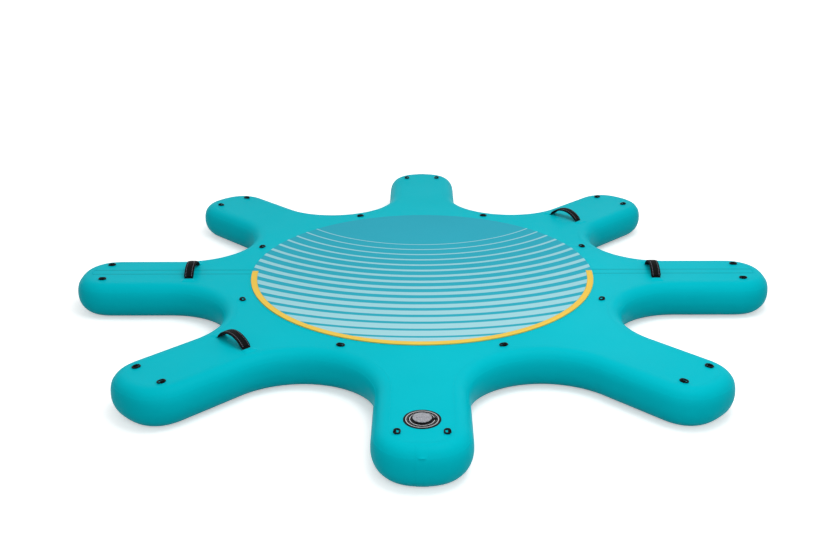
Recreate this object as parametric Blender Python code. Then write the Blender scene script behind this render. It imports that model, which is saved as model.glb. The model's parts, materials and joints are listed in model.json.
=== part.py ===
"""Inflatable dock platform with eight arms, a round deck pad, D-rings, carry handles and an inflation valve.

Metres, +Z up. The origin is the centre of the underside. Arm 1 carries the valve and points to -Y, and
the arms are numbered counter-clockwise as seen from above. Bay 1 lies between arms 1 and 2.
"""
import bpy
import bmesh
from math import asin, copysign, cos, pi, radians, sin
from mathutils import Matrix, Vector

# Hull outline, seen from above
ARM_COUNT = 8
FIRST_ARM_ANGLE = radians(-90)
ARM_REACH = 1.450
ARM_WIDTH = 0.328
TIP_LENGTH = 0.164
TIP_EXPONENT = 2.3
TIP_STEPS = 8
BAY_STEPS = 8

# Hull section: flat faces tied by yarns, and a rounded wall covered by the side band
HULL_THICKNESS = 0.150
EDGE_DEPTH = 0.060
EDGE_STEPS = 6
BAND_THICKNESS = 0.0012
SEAT_GAP = 0.0003

# Strips over the joints
TAPE_WIDTH = 0.050
TAPE_THICKNESS = 0.0009
TAPE_END_GAP = 0.006
STRIP_WIDTH = 0.040
STRIP_THICKNESS = 0.0009
STRIP_GAP = 0.0006

# Deck pad. The margin is the hull's least width round it, in the bays
PAD_RADIUS = 0.714
PAD_MARGIN = 0.1485
PAD_THICKNESS = 0.005
BORDER_WIDTH = 0.025
PAD_STEPS = 96

# D-rings, their webbing tabs and patches
RING_WIRE = 0.0055
RING_SPAN = 0.0215
RING_DEPTH = 0.0105
RING_EXPONENT = 2.6
RING_STEPS = 9
RING_SIDES = 6
TIP_RING_SETBACK = 0.121
TIP_RING_SPREAD = 0.155
BAY_RING_CLEARANCE = 0.056
TAB_WIDTH = 0.015
TAB_THICKNESS = 0.0012
TAB_TAIL = 0.0032
TAB_LIP = 0.0008
PATCH_LENGTH = 0.030
PATCH_RIM = 0.0010
PATCH_CORNER = 0.008
PATCH_THICKNESS = 0.0009

# Carry handles. The share is of the way from the pad's rim to the tip
HANDLE_ARMS = (3, 4, 7, 8)
HANDLE_ARM_SHARE = 0.348
HANDLE_SPAN = 0.145
HANDLE_HEIGHT = 0.045
HANDLE_FOOT = 0.024
STRAP_WIDTH = 0.036
STRAP_THICKNESS = 0.0024
STRAP_STEPS = 12
GRIP_SET_BACK_STEPS = 2
GRIP_THICKNESS = 0.0046
GRIP_SIDE = 0.0030
COVER_LENGTH = 0.028
COVER_FLANGE = 0.009
COVER_THICKNESS = 0.0009

# Inflation valve: what shows on the deck
VALVE_SETBACK = 0.200
SURROUND_RADIUS = 0.061
SURROUND_THICKNESS = 0.0012
FLANGE_RADIUS = 0.038
FLANGE_THICKNESS = 0.0018
CAP_RADIUS = 0.031
CAP_RIM = 0.0030
CAP_CHAMFER = 0.0008
CAP_LAND = 0.0030
CAP_DISH = 0.0008
CAP_NOTCH = 0.0007
CAP_STEPS = 40
NECK_RADIUS = 0.0205
SHOULDER_RADIUS = 0.0218
SHOULDER_THICKNESS = 0.0010
GRIP_BAR_LENGTH = 0.040
GRIP_BAR_WIDTH = 0.007
GRIP_BAR_RISE = 0.0008
TETHER_THICKNESS = 0.0012
TETHER_RING_WIDTH = 0.0062
TETHER_NECK_WIDTH = 0.008
TETHER_HINGE_RADIUS = 0.0356
TETHER_POST_RADIUS = 0.0425
POST_RADIUS = 0.0020
POST_RISE = 0.0010
EYE_WIDTH = 0.0022
ARM_CORNER_SHARE = 0.33
EYE_SPREAD_SHARE = 1.5

# Inflation valve: barrel and works inside the hull
FACE_THICKNESS = 0.0012
BARREL_RADIUS = 0.027
BARREL_DEPTH = 0.038
THROAT_RADIUS = 0.019
COUNTERBORE_RADIUS = 0.0225
COUNTERBORE_DEPTH = 0.0026
SPIDER_DEPTH = 0.020
SPIDER_THICKNESS = 0.004
SPIDER_WEBS = 3
WEB_WIDTH = 0.0035
BOSS_RADIUS = 0.0062
SEAT_RADIUS = 0.0150
CAGE_RADIUS = 0.0210
NUT_RADIUS = 0.036
NUT_THICKNESS = 0.008
NUT_NOTCH = 0.002
POCKET_CLEARANCE = 0.0008
POCKET_FLOOR_GAP = 0.0030
STEM_RADIUS = 0.0030
BUTTON_RADIUS = 0.0070
BUTTON_THICKNESS = 0.0035
WASHER_RADIUS = 0.0066
WASHER_THICKNESS = 0.0010
SPRING_WIRE = 0.0008
SPRING_RADIUS = 0.0048
SPRING_LENGTH = 0.0090
SPRING_TURNS = 4
SPRING_TURN_STEPS = 9
POPPET_RADIUS = 0.0175
POPPET_THICKNESS = 0.0030
POPPET_SEAL_WIDTH = 0.0050
POPPET_SEAL_THICKNESS = 0.0010
CAP_SEAL_WIDTH = 0.0022
CAP_SEAL_THICKNESS = 0.0010
VALVE_STEPS = 24
SURROUND_STEPS = 32

# Shared working values
CUT_OVERRUN = 0.010
MERGE_DISTANCE = 0.00001
SMOOTH_ANGLE = radians(40)

# Places that follow from the sizes
DECK = HULL_THICKNESS
ARM_PITCH = 2 * pi / ARM_COUNT
ARM_HALF_WIDTH = ARM_WIDTH / 2
TIP_CENTRE = ARM_REACH - TIP_LENGTH
BAY_RIM = PAD_RADIUS + PAD_MARGIN
BAY_RADIUS = (BAY_RIM * sin(ARM_PITCH / 2) - ARM_HALF_WIDTH) / (1 - sin(ARM_PITCH / 2))
BAY_CENTRE = BAY_RIM + BAY_RADIUS
TIP_RING_RADIUS = ARM_REACH - TIP_RING_SETBACK
BAY_RING_RADIUS = PAD_RADIUS + BAY_RING_CLEARANCE
HANDLE_RADIUS = PAD_RADIUS + HANDLE_ARM_SHARE * (ARM_REACH - PAD_RADIUS)
VALVE_RADIUS = ARM_REACH - VALVE_SETBACK
RING_RADIUS = RING_WIRE / 2
PATCH_TOP = DECK + PATCH_THICKNESS
BAR_HEIGHT = PATCH_TOP + SEAT_GAP + RING_RADIUS
FLANGE_BASE = SEAT_GAP + SURROUND_THICKNESS + SEAT_GAP
FLANGE_TOP = FLANGE_BASE + FLANGE_THICKNESS
SPIDER_TOP = -SPIDER_DEPTH
SEAT_LEVEL = SPIDER_TOP - SPIDER_THICKNESS
SPRING_BASE = SPIDER_TOP + SEAT_GAP
WASHER_BASE = SPRING_BASE + SPRING_LENGTH + SEAT_GAP
BUTTON_BASE = WASHER_BASE + WASHER_THICKNESS + SEAT_GAP
BUTTON_TOP = BUTTON_BASE + BUTTON_THICKNESS
POPPET_SEAL_BASE = SEAT_LEVEL - SEAT_GAP - POPPET_SEAL_THICKNESS
POPPET_TOP = POPPET_SEAL_BASE - SEAT_GAP
CAP_SEAL_BASE = FLANGE_TOP - COUNTERBORE_DEPTH + SEAT_GAP
TETHER_BASE = FLANGE_TOP + SEAT_GAP
TETHER_TOP = TETHER_BASE + TETHER_THICKNESS
CAP_BASE = TETHER_TOP + SEAT_GAP
CAP_TOP = CAP_BASE + CAP_RIM


def clear_scene():
    for item in list(bpy.data.objects):
        bpy.data.objects.remove(item, do_unlink=True)


def material(name, colour, roughness, metallic=0.0):
    made = bpy.data.materials.new(name)
    made.use_nodes = True
    shader = made.node_tree.nodes["Principled BSDF"]
    shader.inputs["Base Color"].default_value = (*colour, 1.0)
    shader.inputs["Roughness"].default_value = roughness
    shader.inputs["Metallic"].default_value = metallic
    return made


def add_object(name, mesh, finish, parent=None, place=(0, 0, 0), turn=0.0):
    piece = bpy.data.objects.new(name, mesh)
    piece.location = place
    piece.rotation_euler = (0, 0, turn)
    piece.parent = parent
    if finish and not mesh.materials:
        mesh.materials.append(finish)
    bpy.context.scene.collection.objects.link(piece)
    return piece


def finished_mesh(name, bm, smooth=True):
    """Mesh from a bmesh, with its faces pointing out and only its hard edges sharp."""
    bmesh.ops.recalc_face_normals(bm, faces=bm.faces)
    mesh = bpy.data.meshes.new(name)
    bm.to_mesh(mesh)
    bm.free()
    if smooth:
        mesh.shade_smooth()
        mesh.set_sharp_from_angle(angle=SMOOTH_ANGLE)
    return mesh


def loft(name, loops, closed=False):
    """Solid through closed loops of equally many points, capped at both ends unless it closes on itself."""
    bm = bmesh.new()
    rows = [[bm.verts.new(point) for point in loop] for loop in loops]
    pairs = list(zip(rows, rows[1:]))
    if closed:
        pairs.append((rows[-1], rows[0]))
    for low, high in pairs:
        for i in range(len(low)):
            j = (i + 1) % len(low)
            bm.faces.new((low[i], low[j], high[j], high[i]))
    if not closed:
        bm.faces.new(reversed(rows[0]))
        bm.faces.new(rows[-1])
    return finished_mesh(name, bm)


def lathe(name, profile, steps):
    """Solid turned about Z from (radius, height) points. Points at zero radius merge into poles."""
    bm = bmesh.new()
    corners = [bm.verts.new((radius, 0, height)) for radius, height in profile]
    edges = [bm.edges.new((corners[i - 1], corners[i])) for i in range(len(corners))]
    edges = [e for e in edges if max(v.co.x for v in e.verts) > MERGE_DISTANCE]
    axis = Vector((0, 0, 1))
    bmesh.ops.spin(bm, geom=corners + edges, axis=axis, cent=(0, 0, 0), angle=2 * pi, steps=steps)
    bmesh.ops.remove_doubles(bm, verts=bm.verts, dist=MERGE_DISTANCE)
    lone = [e for e in bm.edges if not e.link_faces]
    bmesh.ops.delete(bm, geom=lone, context="EDGES")
    return finished_mesh(name, bm)


def plate(name, outline, low, high):
    """Flat plate with the given (x, y) outline between two heights."""
    bm = bmesh.new()
    face = bm.faces.new([bm.verts.new((x, y, low)) for x, y in outline])
    raised = bmesh.ops.extrude_face_region(bm, geom=[face])["geom"]
    lifted = [g for g in raised if isinstance(g, bmesh.types.BMVert)]
    bmesh.ops.translate(bm, verts=lifted, vec=(0, 0, high - low))
    return finished_mesh(name, bm, smooth=False)


def section_bar(name, section, width):
    """Bar with an (x, z) section, centred across Y."""
    bm = bmesh.new()
    face = bm.faces.new([bm.verts.new((x, -width / 2, z)) for x, z in section])
    raised = bmesh.ops.extrude_face_region(bm, geom=[face])["geom"]
    lifted = [g for g in raised if isinstance(g, bmesh.types.BMVert)]
    bmesh.ops.translate(bm, verts=lifted, vec=(0, width, 0))
    return finished_mesh(name, bm)


def pierced_plate(name, outline, hole, low, high):
    """Flat plate with one hole, whose outline has as many points as the plate's."""
    loops = [
        [(x, y, low) for x, y in outline],
        [(x, y, high) for x, y in outline],
        [(x, y, high) for x, y in hole],
        [(x, y, low) for x, y in hole],
    ]
    return loft(name, loops, closed=True)


def circle(radius, steps, notch=0.0, start=0.0):
    """Points round a circle. With a notch, every second one lies that much further in."""
    points = []
    for i in range(steps):
        reach = radius - notch * (i % 2)
        angle = start + 2 * pi * i / steps
        points.append((reach * cos(angle), reach * sin(angle)))
    return points


def joined_mesh(name, parts):
    """One mesh from (mesh, matrix) pairs, as separate solids."""
    bm = bmesh.new()
    for mesh, matrix in parts:
        start = len(bm.verts)
        bm.from_mesh(mesh)
        bm.verts.ensure_lookup_table()
        bmesh.ops.transform(bm, matrix=matrix, verts=bm.verts[start:])
    return finished_mesh(name, bm)


def tool(name, mesh, parent=None, place=(0, 0, 0), turn=0.0):
    """Hidden object that shapes others through their Boolean modifiers."""
    piece = add_object(name, mesh, None, parent, place, turn)
    piece.hide_render = True
    piece.display_type = "WIRE"
    return piece


def shape_with(piece, operation, other):
    step = piece.modifiers.new(other.name, "BOOLEAN")
    step.operation = operation
    step.solver = "EXACT"
    step.object = other


def box_mesh(name, low, high):
    outline = [(low[0], low[1]), (high[0], low[1]), (high[0], high[1]), (low[0], high[1])]
    return plate(name, outline, low[2], high[2])


def arm_angle(arm):
    return FIRST_ARM_ANGLE + (arm - 1) * ARM_PITCH


def placement(angle, radius, side, height):
    """Place at a distance along a direction from the centre, and to its left."""
    x = radius * cos(angle) - side * sin(angle)
    y = radius * sin(angle) + side * cos(angle)
    return Vector((x, y, height))


def rounded(value, exponent):
    """Coordinate of a superellipse from its angle's cosine or sine."""
    return copysign(abs(value) ** (2 / exponent), value)


def hull_outline():
    """Corners and outward normals of the plan outline, from the tip of arm 1 counter-clockwise.

    Each arm has parallel sides and a blunt superelliptic tip, and an arc joins it to the next arm.
    """
    stations = []
    for arm in range(1, ARM_COUNT + 1):
        along = Vector((cos(arm_angle(arm)), sin(arm_angle(arm)), 0))
        left = Vector((-along.y, along.x, 0))
        tip = []
        for i in range(TIP_STEPS + 1):
            angle = pi * (i / TIP_STEPS - 1 / 2)
            reach = TIP_LENGTH * rounded(cos(angle), TIP_EXPONENT)
            side = ARM_HALF_WIDTH * rounded(sin(angle), TIP_EXPONENT)
            pull = abs(reach / TIP_LENGTH) ** (TIP_EXPONENT - 1) / TIP_LENGTH
            lean = abs(side / ARM_HALF_WIDTH) ** (TIP_EXPONENT - 1) / ARM_HALF_WIDTH
            normal = (along * pull + left * copysign(lean, side)).normalized()
            tip.append((along * (TIP_CENTRE + reach) + left * side, normal))
        bay_direction = arm_angle(arm) + ARM_PITCH / 2
        bay_centre = placement(bay_direction, BAY_CENTRE, 0, 0)
        bay = []
        sweep = pi - ARM_PITCH
        for i in range(BAY_STEPS + 1):
            angle = arm_angle(arm) - pi / 2 - sweep * i / BAY_STEPS
            outward = Vector((cos(angle), sin(angle), 0))
            bay.append((bay_centre + outward * BAY_RADIUS, -outward))
        stations.extend(tip + bay)
    start = TIP_STEPS // 2
    return stations[start:] + stations[:start]


def stretch(outline, first_arm, last_arm):
    """Stations of the outline from the tip of one arm to the tip of a later one."""
    per_arm = len(outline) // ARM_COUNT
    first = (first_arm - 1) * per_arm
    last = (last_arm - 1) * per_arm
    return [outline[i % len(outline)] for i in range(first, last + 1)]


def edge_section(inward):
    """Rows (inset, height) of the rounded wall from top to bottom, on a skin set inward by a distance."""
    rows = []
    half = HULL_THICKNESS / 2
    for i in range(EDGE_STEPS + 1):
        angle = pi / 2 - pi * i / EDGE_STEPS
        inset = EDGE_DEPTH - (EDGE_DEPTH - inward) * cos(angle)
        rows.append((inset, half + (half - inward) * sin(angle)))
    return rows


def on_station(station, inset, height):
    point, normal = station
    return Vector((point.x - normal.x * inset, point.y - normal.y * inset, height))


def parted(stations, direction):
    """Stations whose first and last are drawn back along a direction by half a seat gap."""
    back = Vector(direction) * (SEAT_GAP / 2)
    ends = [(stations[0][0] + back, stations[0][1]), (stations[-1][0] + back, stations[-1][1])]
    return [ends[0]] + stations[1:-1] + [ends[1]]


def drop_stitch_panel(name, outline, first_arm, last_arm, direction, finish):
    """Half of the hull: two woven faces with the air and the yarns between them.

    The side band lies on its rounded wall and the deck skin on its top. Its underside is the outer face.
    """
    stations = parted(stretch(outline, first_arm, last_arm), direction)
    rows = edge_section(BAND_THICKNESS + SEAT_GAP)
    rim = EDGE_DEPTH + SEAT_GAP
    rows[-1] = (rim, rows[-1][1])
    rows.append((rim, 0))
    loops = [[on_station(s, inset, height) for s in stations] for inset, height in rows]
    return add_object(name, loft(name, loops), finish)


def side_band(name, outline, first_arm, last_arm, direction, finish):
    """Coated strip wrapped round half of the hull's edge, from face to face."""
    stations = parted(stretch(outline, first_arm, last_arm), direction)
    section = edge_section(0) + edge_section(BAND_THICKNESS)[::-1]
    loops = [[on_station(s, inset, height) for inset, height in section] for s in stations]
    return add_object(name, loft(name, loops), finish)


def deck_skin(name, outline, first_arm, last_arm, direction, finish):
    """Outer layer of half of the deck, flush with the side band's edge."""
    stations = parted(stretch(outline, first_arm, last_arm), direction)
    rim = [on_station(s, EDGE_DEPTH + SEAT_GAP, 0) for s in stations]
    sheet = plate(name, [(p.x, p.y) for p in rim], DECK - BAND_THICKNESS, DECK)
    return add_object(name, sheet, finish)


def between(first, second, share):
    return (first[0].lerp(second[0], share), first[1].lerp(second[1], share))


def joint_strip_mesh(name, outline, arm):
    """Narrow strip that follows the side band over its butt joint at one arm's tip."""
    per_arm = len(outline) // ARM_COUNT
    tip = (arm - 1) * per_arm
    share = STRIP_WIDTH / 2 / (outline[tip][0] - outline[tip + 1][0]).length
    stations = [
        between(outline[tip], outline[tip - 1], share),
        outline[tip],
        between(outline[tip], outline[tip + 1], share),
    ]
    inner = edge_section(-STRIP_GAP)[:-1]
    outer = edge_section(-STRIP_GAP - STRIP_THICKNESS)[:-1]
    section = outer + inner[::-1]
    loops = [[on_station(s, inset, height) for inset, height in section] for s in stations]
    return loft(name, loops)


def build_hull(finishes):
    outline = hull_outline()
    half_turn = ARM_COUNT // 2
    quarter = ARM_COUNT // 4
    panels, skins = {}, {}
    for half, first, direction in (("front", 1 - quarter, (0, -1, 0)), ("rear", 1 + quarter, (0, 1, 0))):
        span = (outline, first, first + half_turn, direction, finishes["hull"])
        panels[half] = drop_stitch_panel("drop_stitch_panel_" + half, *span)
        skins[half] = deck_skin("deck_skin_" + half, *span)
    side_band("side_band_right", outline, 1, 1 + half_turn, (1, 0, 0), finishes["band"])
    side_band("side_band_left", outline, 1 + half_turn, 1 + ARM_COUNT, (-1, 0, 0), finishes["band"])
    for name, arm in (("band_joint_strip_front", 1), ("band_joint_strip_rear", 1 + half_turn)):
        add_object(name, joint_strip_mesh(name, outline, arm), finishes["band"])
    build_seam_tape("seam_tape_top", HULL_THICKNESS - TAPE_THICKNESS, skins, finishes["band"])
    build_seam_tape("seam_tape_bottom", 0, panels, finishes["band"])
    return panels, skins


def build_seam_tape(name, low, halves, finish):
    """Tape over the joint of the two halves, let in flush with their face."""
    end = ARM_REACH - EDGE_DEPTH - TAPE_END_GAP
    side = TAPE_WIDTH / 2
    high = low + TAPE_THICKNESS
    add_object(name, box_mesh(name, (-end, -side, low), (end, side, high)), finish)
    gap = SEAT_GAP
    floor = low - (CUT_OVERRUN if low == 0 else BAND_THICKNESS)
    roof = high + (gap if low == 0 else CUT_OVERRUN)
    reach = end + CUT_OVERRUN
    seat = box_mesh(name + "_seat", (-reach, -side - gap, floor), (reach, side + gap, roof))
    cutter = tool(name + "_seat", seat)
    for piece in halves.values():
        shape_with(piece, "DIFFERENCE", cutter)


def build_deck_pad(finishes):
    """Round foam pad. A border strip is let into the front half of its rim."""
    low = DECK + SEAT_GAP
    high = low + PAD_THICKNESS
    half = PAD_STEPS // 2
    inner = PAD_RADIUS - BORDER_WIDTH
    rear = [(PAD_RADIUS * cos(pi * i / half), PAD_RADIUS * sin(pi * i / half)) for i in range(half + 1)]
    reach = inner - SEAT_GAP
    front = [(-reach * cos(pi * i / half), -reach * sin(pi * i / half)) for i in range(half + 1)]
    add_object("deck_pad", plate("deck_pad", rear + front, low, high), finishes["pad"])
    ends = asin(SEAT_GAP / inner)
    sweep = pi - 2 * ends
    angles = [pi + ends + sweep * i / half for i in range(half + 1)]
    outer_arc = [(PAD_RADIUS * cos(a), PAD_RADIUS * sin(a)) for a in angles]
    inner_arc = [(inner * cos(a), inner * sin(a)) for a in reversed(angles)]
    add_object("border_strip", plate("border_strip", outer_arc + inner_arc, low, high), finishes["border"])


def ring_mesh():
    """D-ring lying flat. Its straight bar runs along Y through the origin, and its bow points to +X."""
    depth = RING_DEPTH + RING_WIRE
    half = (RING_SPAN + RING_WIRE) / 2
    path = []
    for i in range(RING_STEPS + 1):
        angle = pi * (i / RING_STEPS - 1 / 2)
        x = depth * rounded(cos(angle), RING_EXPONENT)
        path.append(Vector((x, half * rounded(sin(angle), RING_EXPONENT), 0)))
    path[0].x = 0
    path[-1].x = 0
    loops = []
    for i, point in enumerate(path):
        before = (point - path[i - 1]).normalized()
        after = (path[(i + 1) % len(path)] - point).normalized()
        bisector = (before + after).normalized()
        across = Vector((bisector.y, -bisector.x, 0)) / bisector.dot(after)
        loop = []
        for j in range(RING_SIDES):
            angle = 2 * pi * j / RING_SIDES
            lift = Vector((0, 0, RING_RADIUS * sin(angle)))
            loop.append(point + across * (RING_RADIUS * cos(angle)) + lift)
        loops.append(loop)
    return loft("d_ring", loops, closed=True)


def tab_hollow():
    """Corner radius of the passage for the bar under a tab."""
    return (RING_RADIUS + SEAT_GAP) / cos(pi / RING_SIDES)


def tab_section():
    """Section of a webbing tab: a tail outboard of the bar, an arch over the bar and a short lip inboard."""
    base = PATCH_TOP - PATCH_THICKNESS / 2 - BAR_HEIGHT
    hollow = tab_hollow()
    crown = hollow + TAB_THICKNESS
    half = RING_SIDES // 2
    angles = [pi * i / half for i in range(half + 1)]
    arch_low = [(hollow * cos(a), hollow * sin(a)) for a in angles]
    arch_high = [(crown * cos(a), crown * sin(a)) for a in angles]
    shelf = PATCH_TOP + TAB_THICKNESS - BAR_HEIGHT
    right = [(crown + TAB_LIP, base), (crown + TAB_LIP, shelf), (crown, shelf)]
    left = [(-crown, shelf), (-crown - TAB_TAIL, shelf), (-crown - TAB_TAIL, base)]
    return right + arch_high[1:-1] + left + [(-hollow, base)] + arch_low[::-1] + [(hollow, base)]


def patch_outline():
    """Patch with clipped corners, from just past the tab's tail to just past the ring's bow."""
    tail = -tab_hollow() - TAB_THICKNESS - TAB_TAIL - PATCH_RIM
    bow = RING_DEPTH + RING_WIRE + RING_RADIUS + PATCH_RIM
    y, corner = PATCH_LENGTH / 2, PATCH_CORNER
    right = [(bow, corner - y), (bow, y - corner), (bow - corner, y)]
    left = [(tail + corner, y), (tail, y - corner), (tail, corner - y)]
    return right + left + [(tail + corner, -y), (bow - corner, -y)]


def ring_places():
    """Name, place of the bar and direction of the bow for each D-ring, all with the bar outboard."""
    places = []
    offset = (RING_DEPTH + RING_WIRE) / 2
    bar = TIP_RING_SPREAD / 2 + offset
    for arm in range(1, ARM_COUNT + 1):
        angle = arm_angle(arm)
        left = placement(angle, TIP_RING_RADIUS, bar, BAR_HEIGHT)
        right = placement(angle, TIP_RING_RADIUS, -bar, BAR_HEIGHT)
        places.append((f"d_ring_arm{arm}_left", left, angle - pi / 2))
        places.append((f"d_ring_arm{arm}_right", right, angle + pi / 2))
    for bay in range(1, ARM_COUNT + 1):
        angle = arm_angle(bay) + ARM_PITCH / 2
        place = placement(angle, BAY_RING_RADIUS + offset, 0, BAR_HEIGHT)
        places.append((f"d_ring_bay{bay}", place, angle + pi))
    return places


def build_rings(skins, finishes):
    """D-rings that hinge about their bars, each under a webbing tab on a patch welded to the deck."""
    ring = ring_mesh()
    tab = section_bar("ring_tab", tab_section(), TAB_WIDTH)
    patch_base = DECK - BAND_THICKNESS / 2
    patch = plate("ring_patch", patch_outline(), patch_base - BAR_HEIGHT, PATCH_TOP - BAR_HEIGHT)
    tabs = {"front": [], "rear": []}
    patches = {"front": [], "rear": []}
    for name, place, bow in ring_places():
        add_object(name, ring, finishes["ring"], None, place, bow)
        half = "front" if place.y < 0 else "rear"
        matrix = Matrix.Translation(place) @ Matrix.Rotation(bow, 4, "Z")
        tabs[half].append((tab, matrix))
        patches[half].append((patch, matrix))
    for half, skin in skins.items():
        for name, copies in (("ring_patches_" + half, patches[half]), ("ring_tabs_" + half, tabs[half])):
            shape_with(skin, "UNION", tool(name, joined_mesh(name, copies)))


def arch_point(share, rise):
    """Point and outward normal on the handle's arch: share runs from -1 at one foot to 1 at the other."""
    half = HANDLE_SPAN / 2
    radius = (half ** 2 + HANDLE_HEIGHT ** 2) / (2 * HANDLE_HEIGHT)
    angle = asin(half / radius) * share
    base = SEAT_GAP + STRAP_THICKNESS / 2
    x = (radius + rise) * sin(angle)
    return x, base + (radius + rise) * cos(angle) - (radius - HANDLE_HEIGHT)


def strap_shares():
    return [2 * i / STRAP_STEPS - 1 for i in range(STRAP_STEPS + 1)]


def strap_section():
    """Side view of the strap: two flat feet and the arch between them."""
    half = STRAP_THICKNESS / 2
    foot = HANDLE_SPAN / 2 + HANDLE_FOOT
    low, high = SEAT_GAP, SEAT_GAP + STRAP_THICKNESS
    shares = strap_shares()
    over = [arch_point(share, half) for share in shares]
    under = [arch_point(share, -half) for share in shares[1:-1]]
    over[0] = (over[0][0], high)
    over[-1] = (over[-1][0], high)
    inner = under[0][0] - half, low
    feet_over = [(-foot, low), (-foot, high)]
    return feet_over + over + [(foot, high), (foot, low), (-inner[0], low)] + under[::-1] + [inner]


def grip_mesh():
    """Padded sleeve round the middle of the strap, with a slot for it."""
    core = STRAP_THICKNESS / 2 + SEAT_GAP
    outer_rise = core + GRIP_THICKNESS
    slot_side = STRAP_WIDTH / 2 + SEAT_GAP
    outer_side = slot_side + GRIP_SIDE
    corner = outer_rise / 2
    outer = [
        (outer_side, -corner),
        (outer_side, corner),
        (slot_side - corner, outer_rise),
        (corner - slot_side, outer_rise),
        (-outer_side, corner),
        (-outer_side, -corner),
        (corner - slot_side, -outer_rise),
        (slot_side - corner, -outer_rise),
    ]
    slot = [
        (slot_side, -core),
        (slot_side, core),
        (slot_side - corner, core),
        (corner - slot_side, core),
        (-slot_side, core),
        (-slot_side, -core),
        (corner - slot_side, -core),
        (slot_side - corner, -core),
    ]
    shares = strap_shares()[GRIP_SET_BACK_STEPS:-GRIP_SET_BACK_STEPS]
    loops = []
    for share in shares:
        loops.append([(arch_point(share, rise)[0], side, arch_point(share, rise)[1]) for side, rise in outer])
    for share in reversed(shares):
        loops.append([(arch_point(share, rise)[0], side, arch_point(share, rise)[1]) for side, rise in slot])
    return loft("handle_grip", loops, closed=True)


def cover_mesh(name):
    """Welded cover over a strap's foot: two flanges on the deck and a raised middle."""
    low = -BAND_THICKNESS / 2
    inner_side = STRAP_WIDTH / 2 + SEAT_GAP
    inner_top = SEAT_GAP + STRAP_THICKNESS + SEAT_GAP
    outer_side = inner_side + COVER_THICKNESS
    outer_top = inner_top + COVER_THICKNESS
    edge = outer_side + COVER_FLANGE
    shelf = COVER_THICKNESS
    right = [(edge, low), (edge, shelf), (outer_side, shelf), (outer_side, outer_top)]
    left = [(-side, height) for side, height in reversed(right)]
    inner = [(-inner_side, low), (-inner_side, inner_top), (inner_side, inner_top), (inner_side, low)]
    return section_bar(name, right + left + inner, COVER_LENGTH)


def build_handles(skins, finishes):
    """Carry handles across four arms. Local X runs across the arm, and local Z is up from the deck."""
    strap = section_bar("handle_strap", strap_section(), STRAP_WIDTH)
    grip = grip_mesh()
    cover = cover_mesh("handle_cover")
    covers = {"front": [], "rear": []}
    reach = HANDLE_SPAN / 2 + STRAP_THICKNESS + COVER_LENGTH / 2
    for arm in HANDLE_ARMS:
        place = placement(arm_angle(arm), HANDLE_RADIUS, 0, DECK)
        turn = arm_angle(arm) + pi / 2
        add_object(f"handle_strap_arm{arm}", strap, finishes["webbing"], None, place, turn)
        add_object(f"handle_grip_arm{arm}", grip, finishes["grip"], None, place, turn)
        frame = Matrix.Translation(place) @ Matrix.Rotation(turn, 4, "Z")
        for side in (-1, 1):
            quarter = Matrix.Rotation(pi / 2, 4, "Z")
            matrix = frame @ Matrix.Translation((side * reach, 0, 0)) @ quarter
            half = "front" if matrix.translation.y < 0 else "rear"
            covers[half].append((cover, matrix))
    for half, skin in skins.items():
        name = "handle_covers_" + half
        shape_with(skin, "UNION", tool(name, joined_mesh(name, covers[half])))


def valve_pocket_mesh():
    """Cavity in the panel: the barrel's hole, and a wider space for the nut under the clamped face."""
    hole = BARREL_RADIUS + POCKET_CLEARANCE
    wide = NUT_RADIUS + POCKET_CLEARANCE
    roof = -BAND_THICKNESS - FACE_THICKNESS
    floor = roof - SEAT_GAP - NUT_THICKNESS - POCKET_CLEARANCE
    bottom = -BARREL_DEPTH - POCKET_FLOOR_GAP
    profile = [
        (0, CUT_OVERRUN),
        (0, bottom),
        (hole, bottom),
        (hole, floor),
        (wide, floor),
        (wide, roof),
        (hole, roof),
        (hole, CUT_OVERRUN),
    ]
    return lathe("valve_pocket", profile, VALVE_STEPS)


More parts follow.
